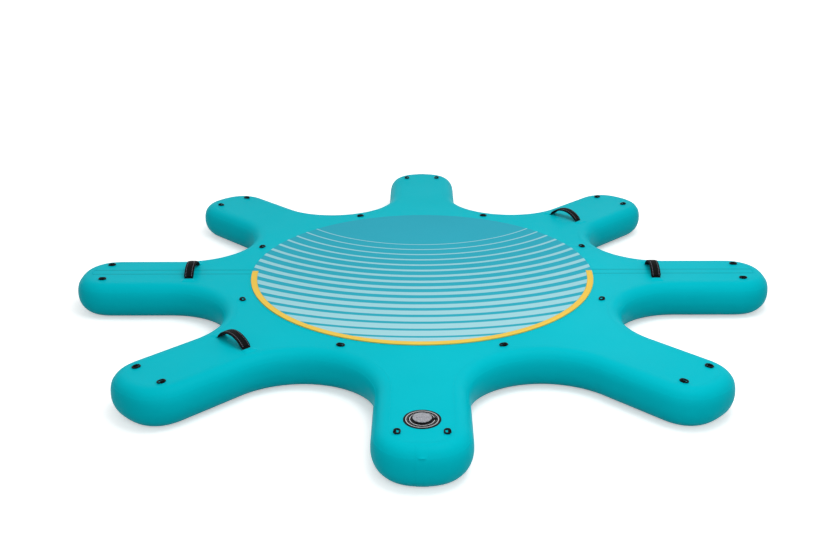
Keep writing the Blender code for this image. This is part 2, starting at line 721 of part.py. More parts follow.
def build_valve_body(axis, finish):
    """Flange, barrel, throat and seat turned in one, with a spider that guides the stem."""
    profile = [
        (BARREL_RADIUS, FLANGE_BASE),
        (FLANGE_RADIUS, FLANGE_BASE),
        (FLANGE_RADIUS, FLANGE_TOP),
        (COUNTERBORE_RADIUS, FLANGE_TOP),
        (COUNTERBORE_RADIUS, FLANGE_TOP - COUNTERBORE_DEPTH),
        (THROAT_RADIUS, FLANGE_TOP - COUNTERBORE_DEPTH),
        (THROAT_RADIUS, SPIDER_TOP),
        (SEAT_RADIUS, SPIDER_TOP),
        (SEAT_RADIUS, SEAT_LEVEL),
        (CAGE_RADIUS, SEAT_LEVEL),
        (CAGE_RADIUS, -BARREL_DEPTH),
        (BARREL_RADIUS, -BARREL_DEPTH),
    ]
    body = add_object("valve_body", lathe("valve_body", profile, VALVE_STEPS), finish, axis)
    bore = STEM_RADIUS + SEAT_GAP
    boss_profile = [
        (bore, SEAT_LEVEL),
        (BOSS_RADIUS, SEAT_LEVEL),
        (BOSS_RADIUS, SPIDER_TOP),
        (bore, SPIDER_TOP),
    ]
    webs = []
    start, end = (bore + BOSS_RADIUS) / 2, (SEAT_RADIUS + THROAT_RADIUS) / 2
    web_drop = SPIDER_THICKNESS / 4
    low, high = (start, -WEB_WIDTH / 2, SEAT_LEVEL + web_drop), (end, WEB_WIDTH / 2, SPIDER_TOP - web_drop)
    web = box_mesh("spider_web", low, high)
    for i in range(SPIDER_WEBS):
        webs.append((web, Matrix.Rotation(2 * pi * i / SPIDER_WEBS, 4, "Z")))
    shape_with(body, "UNION", tool("spider_webs", joined_mesh("spider_webs", webs), axis))
    boss = lathe("spider_boss", boss_profile, VALVE_STEPS // 2)
    shape_with(body, "UNION", tool("spider_boss", boss, axis))
    ear_radius = POST_RADIUS + SEAT_GAP + EYE_WIDTH + SEAT_GAP
    ear_start = (COUNTERBORE_RADIUS + FLANGE_RADIUS) / 2
    ear_steps = VALVE_STEPS // 4
    ear = [(ear_start, -ear_radius)]
    for i in range(ear_steps + 1):
        angle = pi * i / ear_steps - pi / 2
        ear.append((TETHER_POST_RADIUS + ear_radius * cos(angle), ear_radius * sin(angle)))
    ear.append((ear_start, ear_radius))
    ear_plate = plate("tether_ear", ear, FLANGE_BASE, FLANGE_TOP)
    shape_with(body, "UNION", tool("tether_ear", ear_plate, axis))
    post_low = (FLANGE_BASE + FLANGE_TOP) / 2
    outline = circle(POST_RADIUS, VALVE_STEPS // 2)
    post = plate("tether_post", outline, post_low, TETHER_TOP + POST_RISE)
    shape_with(body, "UNION", tool("tether_post", post, axis, (TETHER_POST_RADIUS, 0, 0)))


def build_valve_works(axis, finishes):
    """Plunger, washer, spring and poppet seal, which move inside the barrel."""
    profile = [
        (0, BUTTON_TOP),
        (BUTTON_RADIUS, BUTTON_TOP),
        (BUTTON_RADIUS, BUTTON_BASE),
        (STEM_RADIUS, BUTTON_BASE),
        (STEM_RADIUS, POPPET_TOP),
        (POPPET_RADIUS, POPPET_TOP),
        (POPPET_RADIUS, POPPET_TOP - POPPET_THICKNESS),
        (0, POPPET_TOP - POPPET_THICKNESS),
    ]
    add_object("valve_plunger", lathe("valve_plunger", profile, VALVE_STEPS), finishes["plastic"], axis)
    seal_inner = POPPET_RADIUS - POPPET_SEAL_WIDTH
    seal_top = POPPET_SEAL_BASE + POPPET_SEAL_THICKNESS
    seal = pierced_plate(
        "poppet_seal",
        circle(POPPET_RADIUS, VALVE_STEPS),
        circle(seal_inner, VALVE_STEPS),
        POPPET_SEAL_BASE,
        seal_top,
    )
    add_object("poppet_seal", seal, finishes["rubber"], axis)
    washer = pierced_plate(
        "spring_washer",
        circle(WASHER_RADIUS, VALVE_STEPS // 2),
        circle(STEM_RADIUS + SEAT_GAP, VALVE_STEPS // 2),
        WASHER_BASE,
        WASHER_BASE + WASHER_THICKNESS,
    )
    add_object("spring_washer", washer, finishes["plastic"], axis)
    add_object("plunger_spring", spring_curve(), finishes["steel"], axis)


def spring_curve():
    """Helical compression spring round the stem, standing on the spider's boss."""
    curve = bpy.data.curves.new("plunger_spring", "CURVE")
    curve.dimensions = "3D"
    curve.bevel_depth = SPRING_WIRE / 2
    curve.bevel_resolution = 1
    curve.use_fill_caps = True
    steps = SPRING_TURNS * SPRING_TURN_STEPS
    line = curve.splines.new("POLY")
    line.points.add(steps)
    rise = SPRING_LENGTH - SPRING_WIRE
    low = SPRING_BASE + SPRING_WIRE / 2
    for i in range(steps + 1):
        angle = 2 * pi * i / SPRING_TURN_STEPS
        x, y = SPRING_RADIUS * cos(angle), SPRING_RADIUS * sin(angle)
        line.points[i].co = (x, y, low + rise * i / steps, 1)
    return curve


def cap_mesh():
    """Cap with a notched rim, a dished top, a neck for the tether and a shoulder that presses on its seal."""
    shoulder_top = FLANGE_TOP
    shoulder_low = shoulder_top - SHOULDER_THICKNESS
    land_start = CAP_RADIUS - CAP_CHAMFER - CAP_LAND
    rows = [
        (SHOULDER_RADIUS, shoulder_low, 0),
        (SHOULDER_RADIUS, shoulder_top, 0),
        (NECK_RADIUS, shoulder_top, 0),
        (NECK_RADIUS, CAP_BASE, 0),
        (CAP_RADIUS, CAP_BASE, CAP_NOTCH),
        (CAP_RADIUS, CAP_TOP - CAP_CHAMFER, CAP_NOTCH),
        (CAP_RADIUS - CAP_CHAMFER, CAP_TOP, 0),
        (land_start, CAP_TOP, 0),
        (land_start - CAP_DISH, CAP_TOP - CAP_DISH, 0),
    ]
    loops = []
    for radius, height, notch in rows:
        loops.append([(x, y, height) for x, y in circle(radius, CAP_STEPS, notch)])
    return loft("valve_cap", loops)


def build_cap(axis, finishes):
    cap = add_object("valve_cap", cap_mesh(), finishes["cap"], axis)
    bar_low = CAP_TOP - CAP_DISH - CAP_CHAMFER
    bar_high = CAP_TOP - CAP_DISH + GRIP_BAR_RISE
    half, side = GRIP_BAR_LENGTH / 2, GRIP_BAR_WIDTH / 2
    steps = VALVE_STEPS // 4
    outline = []
    for end, start in ((1, -pi / 2), (-1, pi / 2)):
        for i in range(steps + 1):
            angle = start + pi * i / steps
            outline.append((end * (half - side) + side * cos(angle), side * sin(angle)))
    shape_with(cap, "UNION", tool("cap_grip_bar", plate("cap_grip_bar", outline, bar_low, bar_high), axis))
    seal = pierced_plate(
        "cap_seal",
        circle(SHOULDER_RADIUS, VALVE_STEPS),
        circle(SHOULDER_RADIUS - CAP_SEAL_WIDTH, VALVE_STEPS),
        CAP_SEAL_BASE,
        CAP_SEAL_BASE + CAP_SEAL_THICKNESS,
    )
    add_object("cap_seal", seal, finishes["rubber"], axis)


def tether_ring_mesh(neck, gap):
    """Ring round the cap's neck with a short arm to the hinge line at the origin."""
    clear = NECK_RADIUS + SEAT_GAP
    reach = clear + TETHER_RING_WIDTH
    start = asin(neck / reach)
    sweep = 2 * pi - 2 * start
    outline, hole = [], []
    for i in range(CAP_STEPS):
        angle = start + sweep * i / (CAP_STEPS - 1)
        outline.append((reach * cos(angle) - TETHER_HINGE_RADIUS, reach * sin(angle)))
        hole.append((clear * cos(angle) - TETHER_HINGE_RADIUS, clear * sin(angle)))
    for side in (-1, 1):
        angle = side * start * ARM_CORNER_SHARE
        outline.append((-gap, side * neck))
        hole.append((clear * cos(angle) - TETHER_HINGE_RADIUS, clear * sin(angle)))
    return pierced_plate("tether_ring", outline, hole, TETHER_BASE - TETHER_TOP, 0)


def tether_root_mesh(neck, gap):
    """Fixed end of the tether, from the hinge line at the origin to the eye on its post."""
    centre = TETHER_POST_RADIUS - TETHER_HINGE_RADIUS
    clear = POST_RADIUS + SEAT_GAP
    eye = clear + EYE_WIDTH
    steps = VALVE_STEPS // 2
    outline, hole = [], []
    for i in range(steps + 1):
        angle = pi * i / steps - pi / 2
        spread = angle * EYE_SPREAD_SHARE
        outline.append((centre + eye * cos(angle), eye * sin(angle)))
        hole.append((centre + clear * cos(spread), clear * sin(spread)))
    last = (pi + pi / 2 * EYE_SPREAD_SHARE) / 2
    for side in (1, -1):
        outline.append((gap, side * neck))
        hole.append((centre + clear * cos(last), side * clear * sin(last)))
    return pierced_plate("tether_root", outline, hole, TETHER_BASE - TETHER_TOP, 0)


def build_tether(valve_place, finish):
    """Cap tether in two pieces that meet at its living hinge, whose axis is their origin."""
    origin = valve_place + Vector((TETHER_HINGE_RADIUS, 0, TETHER_TOP))
    neck, gap = TETHER_NECK_WIDTH / 2, SEAT_GAP / 2
    add_object("tether_ring", tether_ring_mesh(neck, gap), finish, None, origin)
    add_object("tether_root", tether_root_mesh(neck, gap), finish, None, origin)


def build_valve(carriers, finishes):
    """Inflation valve on arm 1. The empty on its axis stands on the deck."""
    place = placement(arm_angle(1), VALVE_RADIUS, 0, DECK)
    axis = bpy.data.objects.new("valve_axis", None)
    axis.location = place
    bpy.context.scene.collection.objects.link(axis)
    pocket = tool("valve_pocket", valve_pocket_mesh(), axis)
    for piece in carriers:
        shape_with(piece, "DIFFERENCE", pocket)
    surround = pierced_plate(
        "valve_surround",
        circle(SURROUND_RADIUS, SURROUND_STEPS),
        circle(BARREL_RADIUS + POCKET_CLEARANCE, SURROUND_STEPS),
        SEAT_GAP,
        SEAT_GAP + SURROUND_THICKNESS,
    )
    add_object("valve_surround", surround, finishes["surround"], axis)
    nut_top = -BAND_THICKNESS - FACE_THICKNESS - SEAT_GAP
    nut = pierced_plate(
        "valve_nut",
        circle(NUT_RADIUS, VALVE_STEPS, NUT_NOTCH),
        circle(BARREL_RADIUS + SEAT_GAP, VALVE_STEPS),
        nut_top - NUT_THICKNESS,
        nut_top,
    )
    add_object("valve_nut", nut, finishes["plastic"], axis)
    build_valve_body(axis, finishes["plastic"])
    build_valve_works(axis, finishes)
    build_cap(axis, finishes)
    build_tether(place, finishes["rubber"])


def main():
    clear_scene()
    finishes = {
        "hull": material("hull_pvc", (0.004, 0.520, 0.640), 0.38),
        "band": material("band_pvc", (0.002, 0.400, 0.500), 0.38),
        "pad": material("pad_eva", (0.028, 0.390, 0.510), 0.75),
        "border": material("border_eva", (0.870, 0.600, 0.105), 0.75),
        "ring": material("ring_coated_steel", (0.012, 0.012, 0.014), 0.40, 1.0),
        "webbing": material("webbing_polyester", (0.010, 0.010, 0.012), 0.80),
        "grip": material("grip_neoprene", (0.014, 0.014, 0.016), 0.85),
        "surround": material("surround_rubber", (0.012, 0.012, 0.014), 0.60),
        "plastic": material("valve_nylon", (0.020, 0.020, 0.022), 0.45),
        "rubber": material("seal_rubber", (0.012, 0.012, 0.012), 0.70),
        "steel": material("spring_steel", (0.600, 0.600, 0.620), 0.30, 1.0),
        "cap": material("cap_nylon", (0.380, 0.380, 0.400), 0.50),
    }
    panels, skins = build_hull(finishes)
    build_deck_pad(finishes)
    build_rings(skins, finishes)
    build_handles(skins, finishes)
    build_valve((panels["front"], skins["front"]), finishes)


main()
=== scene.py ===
"""Looks of an eight-armed inflatable dock platform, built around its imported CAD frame."""

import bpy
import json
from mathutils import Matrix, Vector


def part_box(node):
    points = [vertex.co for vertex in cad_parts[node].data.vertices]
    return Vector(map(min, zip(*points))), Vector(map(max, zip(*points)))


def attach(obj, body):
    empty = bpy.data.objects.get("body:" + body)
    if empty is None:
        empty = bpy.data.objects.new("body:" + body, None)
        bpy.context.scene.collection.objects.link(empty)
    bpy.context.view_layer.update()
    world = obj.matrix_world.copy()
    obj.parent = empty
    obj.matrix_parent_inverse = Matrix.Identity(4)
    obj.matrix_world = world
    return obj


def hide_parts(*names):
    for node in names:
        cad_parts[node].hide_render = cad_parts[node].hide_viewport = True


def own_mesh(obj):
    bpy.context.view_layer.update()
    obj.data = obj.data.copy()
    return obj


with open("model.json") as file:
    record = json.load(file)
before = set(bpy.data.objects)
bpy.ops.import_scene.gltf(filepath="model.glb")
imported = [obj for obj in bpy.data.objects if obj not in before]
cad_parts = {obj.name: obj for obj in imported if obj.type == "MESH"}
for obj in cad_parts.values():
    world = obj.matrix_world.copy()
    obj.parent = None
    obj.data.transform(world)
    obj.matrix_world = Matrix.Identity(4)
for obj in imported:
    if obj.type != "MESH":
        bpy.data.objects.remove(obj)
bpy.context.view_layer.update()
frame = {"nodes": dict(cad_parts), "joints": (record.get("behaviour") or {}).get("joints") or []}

import json
from math import asin, atan2, copysign, cos, exp, pi, radians, sin, sqrt, tan, tanh

import bmesh
import bpy
from bpy.props import FloatProperty, FloatVectorProperty, IntProperty, PointerProperty
from mathutils import Matrix, Vector

bl_info = {
    "name": "Inflatable Dock Platform",
    "version": (1, 0, 0),
    "blender": (4, 5, 0),
    "location": "3D View > Sidebar > Dock",
    "description": "Builds the visible pieces of an inflatable dock platform around its CAD frame",
    "category": "Object",
}

UP = Vector((0, 0, 1))
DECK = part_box("seam_tape_top")[1].z
PITCH = 2 * pi / 8
HANDLE_ARMS = (3, 4, 7, 8)
VALVE = sum(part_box("valve_surround"), Vector()) / 2
VALVE.z = DECK
POCKET_RADIUS = 0.0278
SPRING_FOOT, SPRING_TOP = -0.0197, -0.0107
SEAT = 0.0003
MERGE = 0.00002


# Sizes and colours.


def number(name, default, text, **kind):
    return FloatProperty(name=name, default=default, description=text, **kind)


def length(name, default, text):
    return number(name, default, text, subtype="DISTANCE", unit="LENGTH")


def rows(name, default, text):
    return IntProperty(name=name, default=default, description=text)


def colour(name, code, text):
    return FloatVectorProperty(
        name=name, default=srgb(code), description=text, subtype="COLOR", size=3, min=0.0, max=1.0
    )


def srgb(code):
    """Linear colour of an sRGB hex code."""
    shades = [int(code[i:i + 2], 16) / 255 for i in (1, 3, 5)]
    return tuple(s / 12.92 if s <= 0.04045 else ((s + 0.055) / 1.055) ** 2.4 for s in shades)


class HullSizes(bpy.types.PropertyGroup):
    reach: length("Arm reach", 1.450, "Centre of the platform to the tip of an arm")
    half_width: length("Half arm width", 0.164, "Half the width of an arm between its walls")
    tip_depth: length("Tip depth", 0.164, "Length of the rounded part of an arm's tip")
    bay_radius: length("Bay radius", 0.269, "Radius of the hollow between two arms")
    edge_depth: length("Edge depth", 0.060, "Width of the rounded wall in plan")
    sheet: length("Sheet thickness", 0.0012, "Thickness of the coated sheet")
    gap: length("Joint gap", SEAT, "Gap at a glued joint")
    tape_width: length("Tape width", 0.050, "Width of the seam tapes")
    tape: length("Tape thickness", 0.0009, "Thickness of the seam tapes")
    strip_width: length("Strip width", 0.040, "Width of the strips over the bands' butt joints")
    tip_exponent: number("Tip bluntness", 2.3, "Superellipse exponent of a tip")
    wall_rows: rows("Wall rows", 40, "Rows of faces round the wall")
    strip_rows: rows("Strip rows", 208, "Rows of faces round a strip's section")
    shoulder: number("Shoulder fullness", 2.45, "Superellipse exponent above")
    keel: number("Keel fullness", 1.9, "Superellipse exponent below")
    lap: length("Lap thickness", 0.0008, "Step at the edge of the band's second layer")
    lap_edge: number(
        "Lap edge", radians(36), "Place of the second layer's edge above and below the wall's middle",
        subtype="ANGLE", unit="ROTATION"
    )


class PadSizes(bpy.types.PropertyGroup):
    radius: length("Pad radius", 0.714, "Radius of the deck pad")
    thickness: length("Pad thickness", 0.005, "Thickness of the foam")
    border: length("Border width", 0.025, "Width of the border strip")
    ripple_centre: length("Ripple centre", 0.980, "Distance of the ripples' centre behind the pad's centre")
    ripple_start: length("First ripple", 0.640, "Radius of the first ripple")
    ripple_pitch: length("Ripple pitch", 0.0620, "Distance from one ripple to the next")


class FittingSizes(bpy.types.PropertyGroup):
    wire: length("Ring wire", 0.0055, "Thickness of the D-rings' wire")
    ring_half: length("Ring half span", 0.0135, "Half the distance between a ring's legs")
    ring_depth: length("Ring depth", 0.0160, "Distance from a ring's bar to its bow")
    tab_width: length("Tab width", 0.015, "Width of the webbing tab over a ring's bar")
    webbing: length("Tab thickness", 0.0012, "Thickness of the tab's webbing")
    patch: length("Patch thickness", 0.0009, "Thickness of the welded patches and covers")
    strap_width: length("Strap width", 0.036, "Width of a carry handle")
    strap: length("Strap thickness", 0.0024, "Thickness of a carry handle's webbing")
    handle_half: length("Handle half span", 0.0770, "Half the clear span under a handle")
    handle_height: length("Handle height", 0.038, "Rise of a handle's arch")


class DockColours(bpy.types.PropertyGroup):
    hull: colour("Hull", "#00BCCA", "Coated fabric of the deck and underside")
    band: colour("Side band", "#00BBC9", "Coated fabric of the side band")
    pad: colour("Pad", "#2BA7BC", "Foam of the deck pad")
    ripple: colour("Ripples", "#A3D5DC", "Pale ripples on the deck pad")
    border: colour("Border", "#EDC653", "Foam of the border strip")
    black: colour("Black fittings", "#0A0A0C", "Webbing, rings and valve")
    cap: colour("Valve cap", "#9B9DA4", "Moulded cap of the valve")
    print_grey: colour("Valve rings", "#C9CBCE", "Pale rings round the valve")


# Modelling helpers.


def new_piece(name):
    """Names the active object and its mesh."""
    piece = bpy.context.object
    piece.name = piece.data.name = name
    return piece


def deselect():
    bpy.ops.object.select_all(action="DESELECT")


def activate(piece):
    deselect()
    piece.select_set(True)
    bpy.context.view_layer.objects.active = piece


def edit(piece):
    activate(piece)
    bpy.ops.object.mode_set(mode="EDIT")


def leave():
    bpy.ops.object.mode_set(mode="OBJECT")


def pick(kind, test):
    """Selects the vertices or edges that pass a test. The active object is in edit mode."""
    bpy.ops.mesh.select_mode(type=kind)
    bpy.ops.mesh.select_all(action="DESELECT")
    mesh = bpy.context.object.data
    shape = bmesh.from_edit_mesh(mesh)
    for item in shape.verts if kind == "VERT" else shape.edges:
        if test(item):
            item.select_set(True)
    if kind == "VERT":
        shape.select_flush(True)
    bmesh.update_edit_mesh(mesh)


def close_shell():
    """Merges doubles, turns the faces out and leaves edit mode."""
    bpy.ops.mesh.select_mode(type="VERT")
    bpy.ops.mesh.select_all(action="SELECT")
    bpy.ops.mesh.remove_doubles(threshold=MERGE)
    bpy.ops.mesh.normals_make_consistent(inside=False)
    leave()


def close_ends():
    """Closes each open end of a sweep with a face of its own."""
    bpy.ops.mesh.select_all(action="SELECT")
    bpy.ops.mesh.fill_holes(sides=0)
    close_shell()


def modify(piece, kind, **settings):
    """Adds a modifier with its settings and applies it."""
    step = piece.modifiers.new("step", kind)
    for key, value in settings.items():
        setattr(step, key, value)
    activate(piece)
    bpy.ops.object.modifier_apply(modifier=step.name)


def smooth(piece, degrees=35, flat=False):
    """Smooth shading with sharp corners. Where it is asked for, large flat faces stay flat to their rims."""
    activate(piece)
    bpy.ops.object.shade_smooth_by_angle(angle=radians(degrees))
    if flat:
        modify(piece, "WEIGHTED_NORMAL", keep_sharp=True)


def bevel(piece, width, segments=2, degrees=40):
    limit = radians(degrees)
    modify(piece, "BEVEL", width=width, segments=segments, limit_method="ANGLE", angle_limit=limit)


def thicken(piece, thickness, side, even=False):
    modify(piece, "SOLIDIFY", thickness=thickness, offset=side, use_even_offset=even)


def cut(piece, cutter):
    """Takes a cutter out of a piece and deletes it."""
    modify(piece, "BOOLEAN", operation="DIFFERENCE", solver="EXACT", object=cutter)
    bpy.data.objects.remove(cutter, do_unlink=True)


def join(*parts):
    """Joins pieces into the first one."""
    deselect()
    for part in parts:
        part.select_set(True)
    bpy.context.view_layer.objects.active = parts[0]
    bpy.ops.object.join()


def applied(name):
    """Names the new primitive and moves its place into its mesh."""
    piece = new_piece(name)
    activate(piece)
    bpy.ops.object.transform_apply(location=True, rotation=True, scale=True)
    return piece


def block(low, high, name="block"):
    """Box between two corners."""
    deselect()
    low, high = Vector(low), Vector(high)
    bpy.ops.mesh.primitive_cube_add(size=1, location=(low + high) / 2)
    bpy.ops.transform.resize(value=high - low)
    return applied(name)


def cylinder(radius, low, high, place, steps, name="cylinder"):
    deselect()
    middle = (place[0], place[1], (low + high) / 2)
    bpy.ops.mesh.primitive_cylinder_add(vertices=steps, radius=radius, depth=high - low, location=middle)
    return applied(name)


def round_corners(piece, width, segments):
    """Rounds the upright edges of a block."""
    edit(piece)
    pick("EDGE", lambda e: abs(e.verts[0].co.z - e.verts[1].co.z) > MERGE)
    bpy.ops.mesh.bevel(offset=width, segments=segments, affect="EDGES")
    leave()


def copy_of(piece, name, matrix):
    """Copy with a mesh of its own, at its place."""
    copy = piece.copy()
    copy.data = piece.data.copy()
    copy.name = copy.data.name = name
    copy.data.transform(matrix)
    bpy.context.scene.collection.objects.link(copy)
    return copy


def remove(*patterns):
    for pattern in patterns:
        bpy.data.objects.remove(pattern, do_unlink=True)


def section(points, closed=True):
    """Starts an object in edit mode from a loop or an open line of points, all selected."""
    deselect()
    bpy.ops.mesh.primitive_circle_add(vertices=len(points), radius=0.01, fill_type="NOTHING")
    loop = bpy.context.object
    for vertex, point in zip(loop.data.vertices, points):
        vertex.co = point
    bpy.ops.object.mode_set(mode="EDIT")
    if not closed:
        ends = {0, len(points) - 1}
        pick("EDGE", lambda e: {v.index for v in e.verts} == ends)
        bpy.ops.mesh.delete(type="EDGE")
    bpy.ops.mesh.select_all(action="SELECT")
    return loop


def turned(name, profile, steps, closed=True):
    """Turns a profile of (radius, height) points about the valve's axis, with heights from the deck."""
    section([VALVE + Vector((r, 0, z)) for r, z in profile], closed)
    bpy.ops.mesh.spin(steps=steps, angle=2 * pi, center=VALVE, axis=UP)
    close_shell()
    return new_piece(name)


class Sweep:
    """Carries the selected section along a path by extrude and spin, in the plane across its axis."""

    def __init__(self, point, heading, axis=UP):
        self.point = Vector(point)
        self.heading = Vector(heading).normalized()
        self.axis = Vector(axis)

    def straight(self, distance, steps):
        part = self.heading * (distance / steps)
        for _ in range(steps):
            bpy.ops.mesh.extrude_region_move(TRANSFORM_OT_translate={"value": part})
        self.point = self.point + self.heading * distance

    def bend(self, angle, radius, steps):
        """Turns left for a positive angle and right for a negative one."""
        left = self.axis.cross(self.heading)
        centre = self.point + left * copysign(radius, angle)
        bpy.ops.mesh.spin(steps=steps, angle=-angle, center=centre, axis=self.axis)
        turn = Matrix.Rotation(angle, 3, self.axis)
        self.point = centre + turn @ (self.point - centre)
        self.heading = turn @ self.heading

    def follow(self, *legs):
        """Takes straight legs (distance, steps) and bends (angle, radius, steps) in turn."""
        for leg in legs:
            self.straight(*leg) if len(leg) == 2 else self.bend(*leg)


def webbing_rim(width, thick, edge):
    """Section (across, up) of flat webbing, with its corners cut off."""
    half, rise = width / 2, thick / 2
    right = [(half - edge, -rise), (half, edge - rise), (half, rise - edge), (half - edge, rise)]
    return right + [(-y, -z) for y, z in right]


def write_uv(piece, place):
    """UV map in metres from a function of each corner's point."""
    layers = piece.data.uv_layers
    while layers:
        layers.remove(layers[0])
    pattern = layers.new(name="Pattern")
    for corner in piece.data.loops:
        pattern.data[corner.index].uv = place(piece.data.vertices[corner.vertex_index].co)


# Materials.


def feed(tree, node, values):
    """Sets a node's inputs, or links them to a socket or to the first output of another node."""
    for key, value in values.items():
        if isinstance(value, bpy.types.Node):
            value = value.outputs[0]
        if isinstance(value, bpy.types.NodeSocket):
            tree.links.new(value, node.inputs[key])
        else:
            node.inputs[key].default_value = value


def add(tree, kind, values=None, **settings):
    """Adds a node with its settings, its input values and its links."""
    node = tree.nodes.new("ShaderNode" + kind)
    for key, value in settings.items():
        setattr(node, key, value)
    feed(tree, node, values or {})
    return node


def start_material(name):
    made = bpy.data.materials.new(name)
    made.use_nodes = True
    return made, made.node_tree, made.node_tree.nodes["Principled BSDF"]


def shade(colour_value, factor=1.0):
    return tuple(min(1.0, c * factor) for c in colour_value) + (1.0,)


def waves(spacing):
    """Scale of a wave texture whose bands lie a spacing in metres apart."""
    return 0.1 * pi / spacing


def coated_fabric(name, base, weld_shade=None):
    """PVC-coated polyester, calendered: a smooth vinyl skin over a woven base.

    It gives the eye a soft, even turquoise without sharp highlights, and, close to, a faint weave and slow
    changes of tone and gloss. A nearest and a farthest distance from the X axis, where given, darken the
    fabric
    between them: painted shade along a tape's edges, in part the heat-pressed fabric's own darker tone.
    """
    made, tree, shader = start_material(name)
    coords = add(tree, "TexCoord").outputs["Object"]
    tone = add(tree, "TexNoise", {"Vector": coords, "Scale": 2.2, "Detail": 3.0})
    blend = {0: tone, 6: shade(base, 0.93), 7: shade(base, 1.06)}
    tint = add(tree, "Mix", blend, data_type="RGBA").outputs[2]
    if weld_shade:
        # Painted shade: darker bands along the tape's edges, in part the heat-pressed fabric's own tone
        near, far = weld_shade
        parts = add(tree, "SeparateXYZ", {"Vector": coords})
        aside = add(tree, "Math", {0: parts.outputs[1]}, operation="ABSOLUTE")
        weld_shade_band = add(tree, "Math", {0: aside, 1: (near + far) / 2, 2: (far - near) / 2}, operation="COMPARE")
        tint = add(tree, "Mix", {0: weld_shade_band, 6: tint, 7: shade(base, 0.68)}, data_type="RGBA").outputs[2]
    gloss = add(tree, "TexNoise", {"Vector": coords, "Scale": 5.0, "Detail": 2.0})
    # The weave under the coating has threads of about 1 mm, drawn 3 mm wide so that they show
    yarn = {"Vector": coords, "Scale": waves(0.003), "Distortion": 0.3}
    warp, weft = [add(tree, "TexWave", yarn, bands_direction=axis).outputs[1] for axis in ("X", "Y")]
    threads = add(tree, "Math", {0: warp, 1: weft}, operation="ADD")
    slack = add(tree, "TexNoise", {"Vector": coords, "Scale": 7.0, "Detail": 4.0})
    fine = add(tree, "Bump", {"Height": threads, "Strength": 0.05, "Distance": 0.0004})
    feed(tree, shader, {
        "Base Color": tint,
        "Roughness": add(tree, "MapRange", {"Value": gloss, "To Min": 0.37, "To Max": 0.48}),
        "Normal": add(tree, "Bump", {"Height": slack, "Strength": 0.18, "Distance": 0.006, "Normal": fine}),
        "Specular IOR Level": 0.014,
    })
    return made


def foam(tree, shader, tint, coords):
    """EVA foam, brushed: it gives the eye a matt, dry surface with a short nap that scatters highlights."""
    # The nap is about 0.5 mm, drawn at 2.4 mm so that it shows
    nap = add(tree, "TexNoise", {"Vector": coords, "Scale": 420.0, "Detail": 3.0})
    feed(tree, shader, {
        "Base Color": tint,
        "Normal": add(tree, "Bump", {"Height": nap, "Strength": 0.35, "Distance": 0.0008}),
        "Roughness": 0.78,
        "Specular IOR Level": 0.12,
    })


def rippled_foam(name, base, pale, sizes):
    """EVA foam in two layers, its pale ripples routed through the upper one.

    The ripples spread from a centre behind the pad and widen to the front. They give the eye a moving,
    water-like pattern that pales towards the viewer.
    """
    made, tree, shader = start_material(name)
    coords = add(tree, "TexCoord").outputs["Object"]
    first, pitch = sizes.ripple_start, sizes.ripple_pitch
    last = sizes.ripple_centre + sizes.radius
    flat = add(tree, "VectorMath", {0: coords, 1: (1.0, 1.0, 0.0)}, operation="MULTIPLY")
    centre = (0.0, sizes.ripple_centre, 0.0)
    span = add(tree, "VectorMath", {0: flat, 1: centre}, operation="DISTANCE").outputs["Value"]
    count = add(tree, "MapRange", {"Value": span, "From Min": first, "From Max": first + pitch}, clamp=False)
    phase = add(tree, "Math", {0: count}, operation="FRACT")
    offset = add(tree, "Math", {0: phase, 1: 0.5}, operation="SUBTRACT")
    side = add(tree, "Math", {0: offset}, operation="ABSOLUTE")
    reach = {"Value": span, "From Min": first, "From Max": last}
    width = add(tree, "MapRange", {**reach, "To Min": 0.045, "To Max": 0.40})
    inside = add(tree, "Math", {0: width, 1: side}, operation="SUBTRACT")
    soft = add(tree, "MapRange", {"Value": inside, "From Min": -0.012, "From Max": 0.012})
    started = add(tree, "Math", {0: span, 1: first}, operation="GREATER_THAN")
    mask = add(tree, "Math", {0: soft, 1: started}, operation="MULTIPLY")
    fade = add(tree, "MapRange", {**reach, "To Min": 0.72, "To Max": 1.0})
    share = add(tree, "Math", {0: mask, 1: fade}, operation="MULTIPLY")
    tone = add(tree, "TexNoise", {"Vector": coords, "Scale": 3.0, "Detail": 2.0})
    ground = add(tree, "Mix", {0: tone, 6: shade(base, 0.95), 7: shade(base, 1.05)}, data_type="RGBA")
    tint = add(tree, "Mix", {0: share, 6: ground.outputs[2], 7: shade(pale)}, data_type="RGBA").outputs[2]
    foam(tree, shader, tint, coords)
    return made


def plain_foam(name, base):
    """EVA foam of one colour, brushed: it gives the eye a matt edge line in a strong tone."""
    made, tree, shader = start_material(name)
    coords = add(tree, "TexCoord").outputs["Object"]
    tone = add(tree, "TexNoise", {"Vector": coords, "Scale": 9.0, "Detail": 2.0})
    blend = {0: tone, 6: shade(base, 0.96), 7: shade(base, 1.04)}
    tint = add(tree, "Mix", blend, data_type="RGBA").outputs[2]
    foam(tree, shader, tint, coords)
    return made


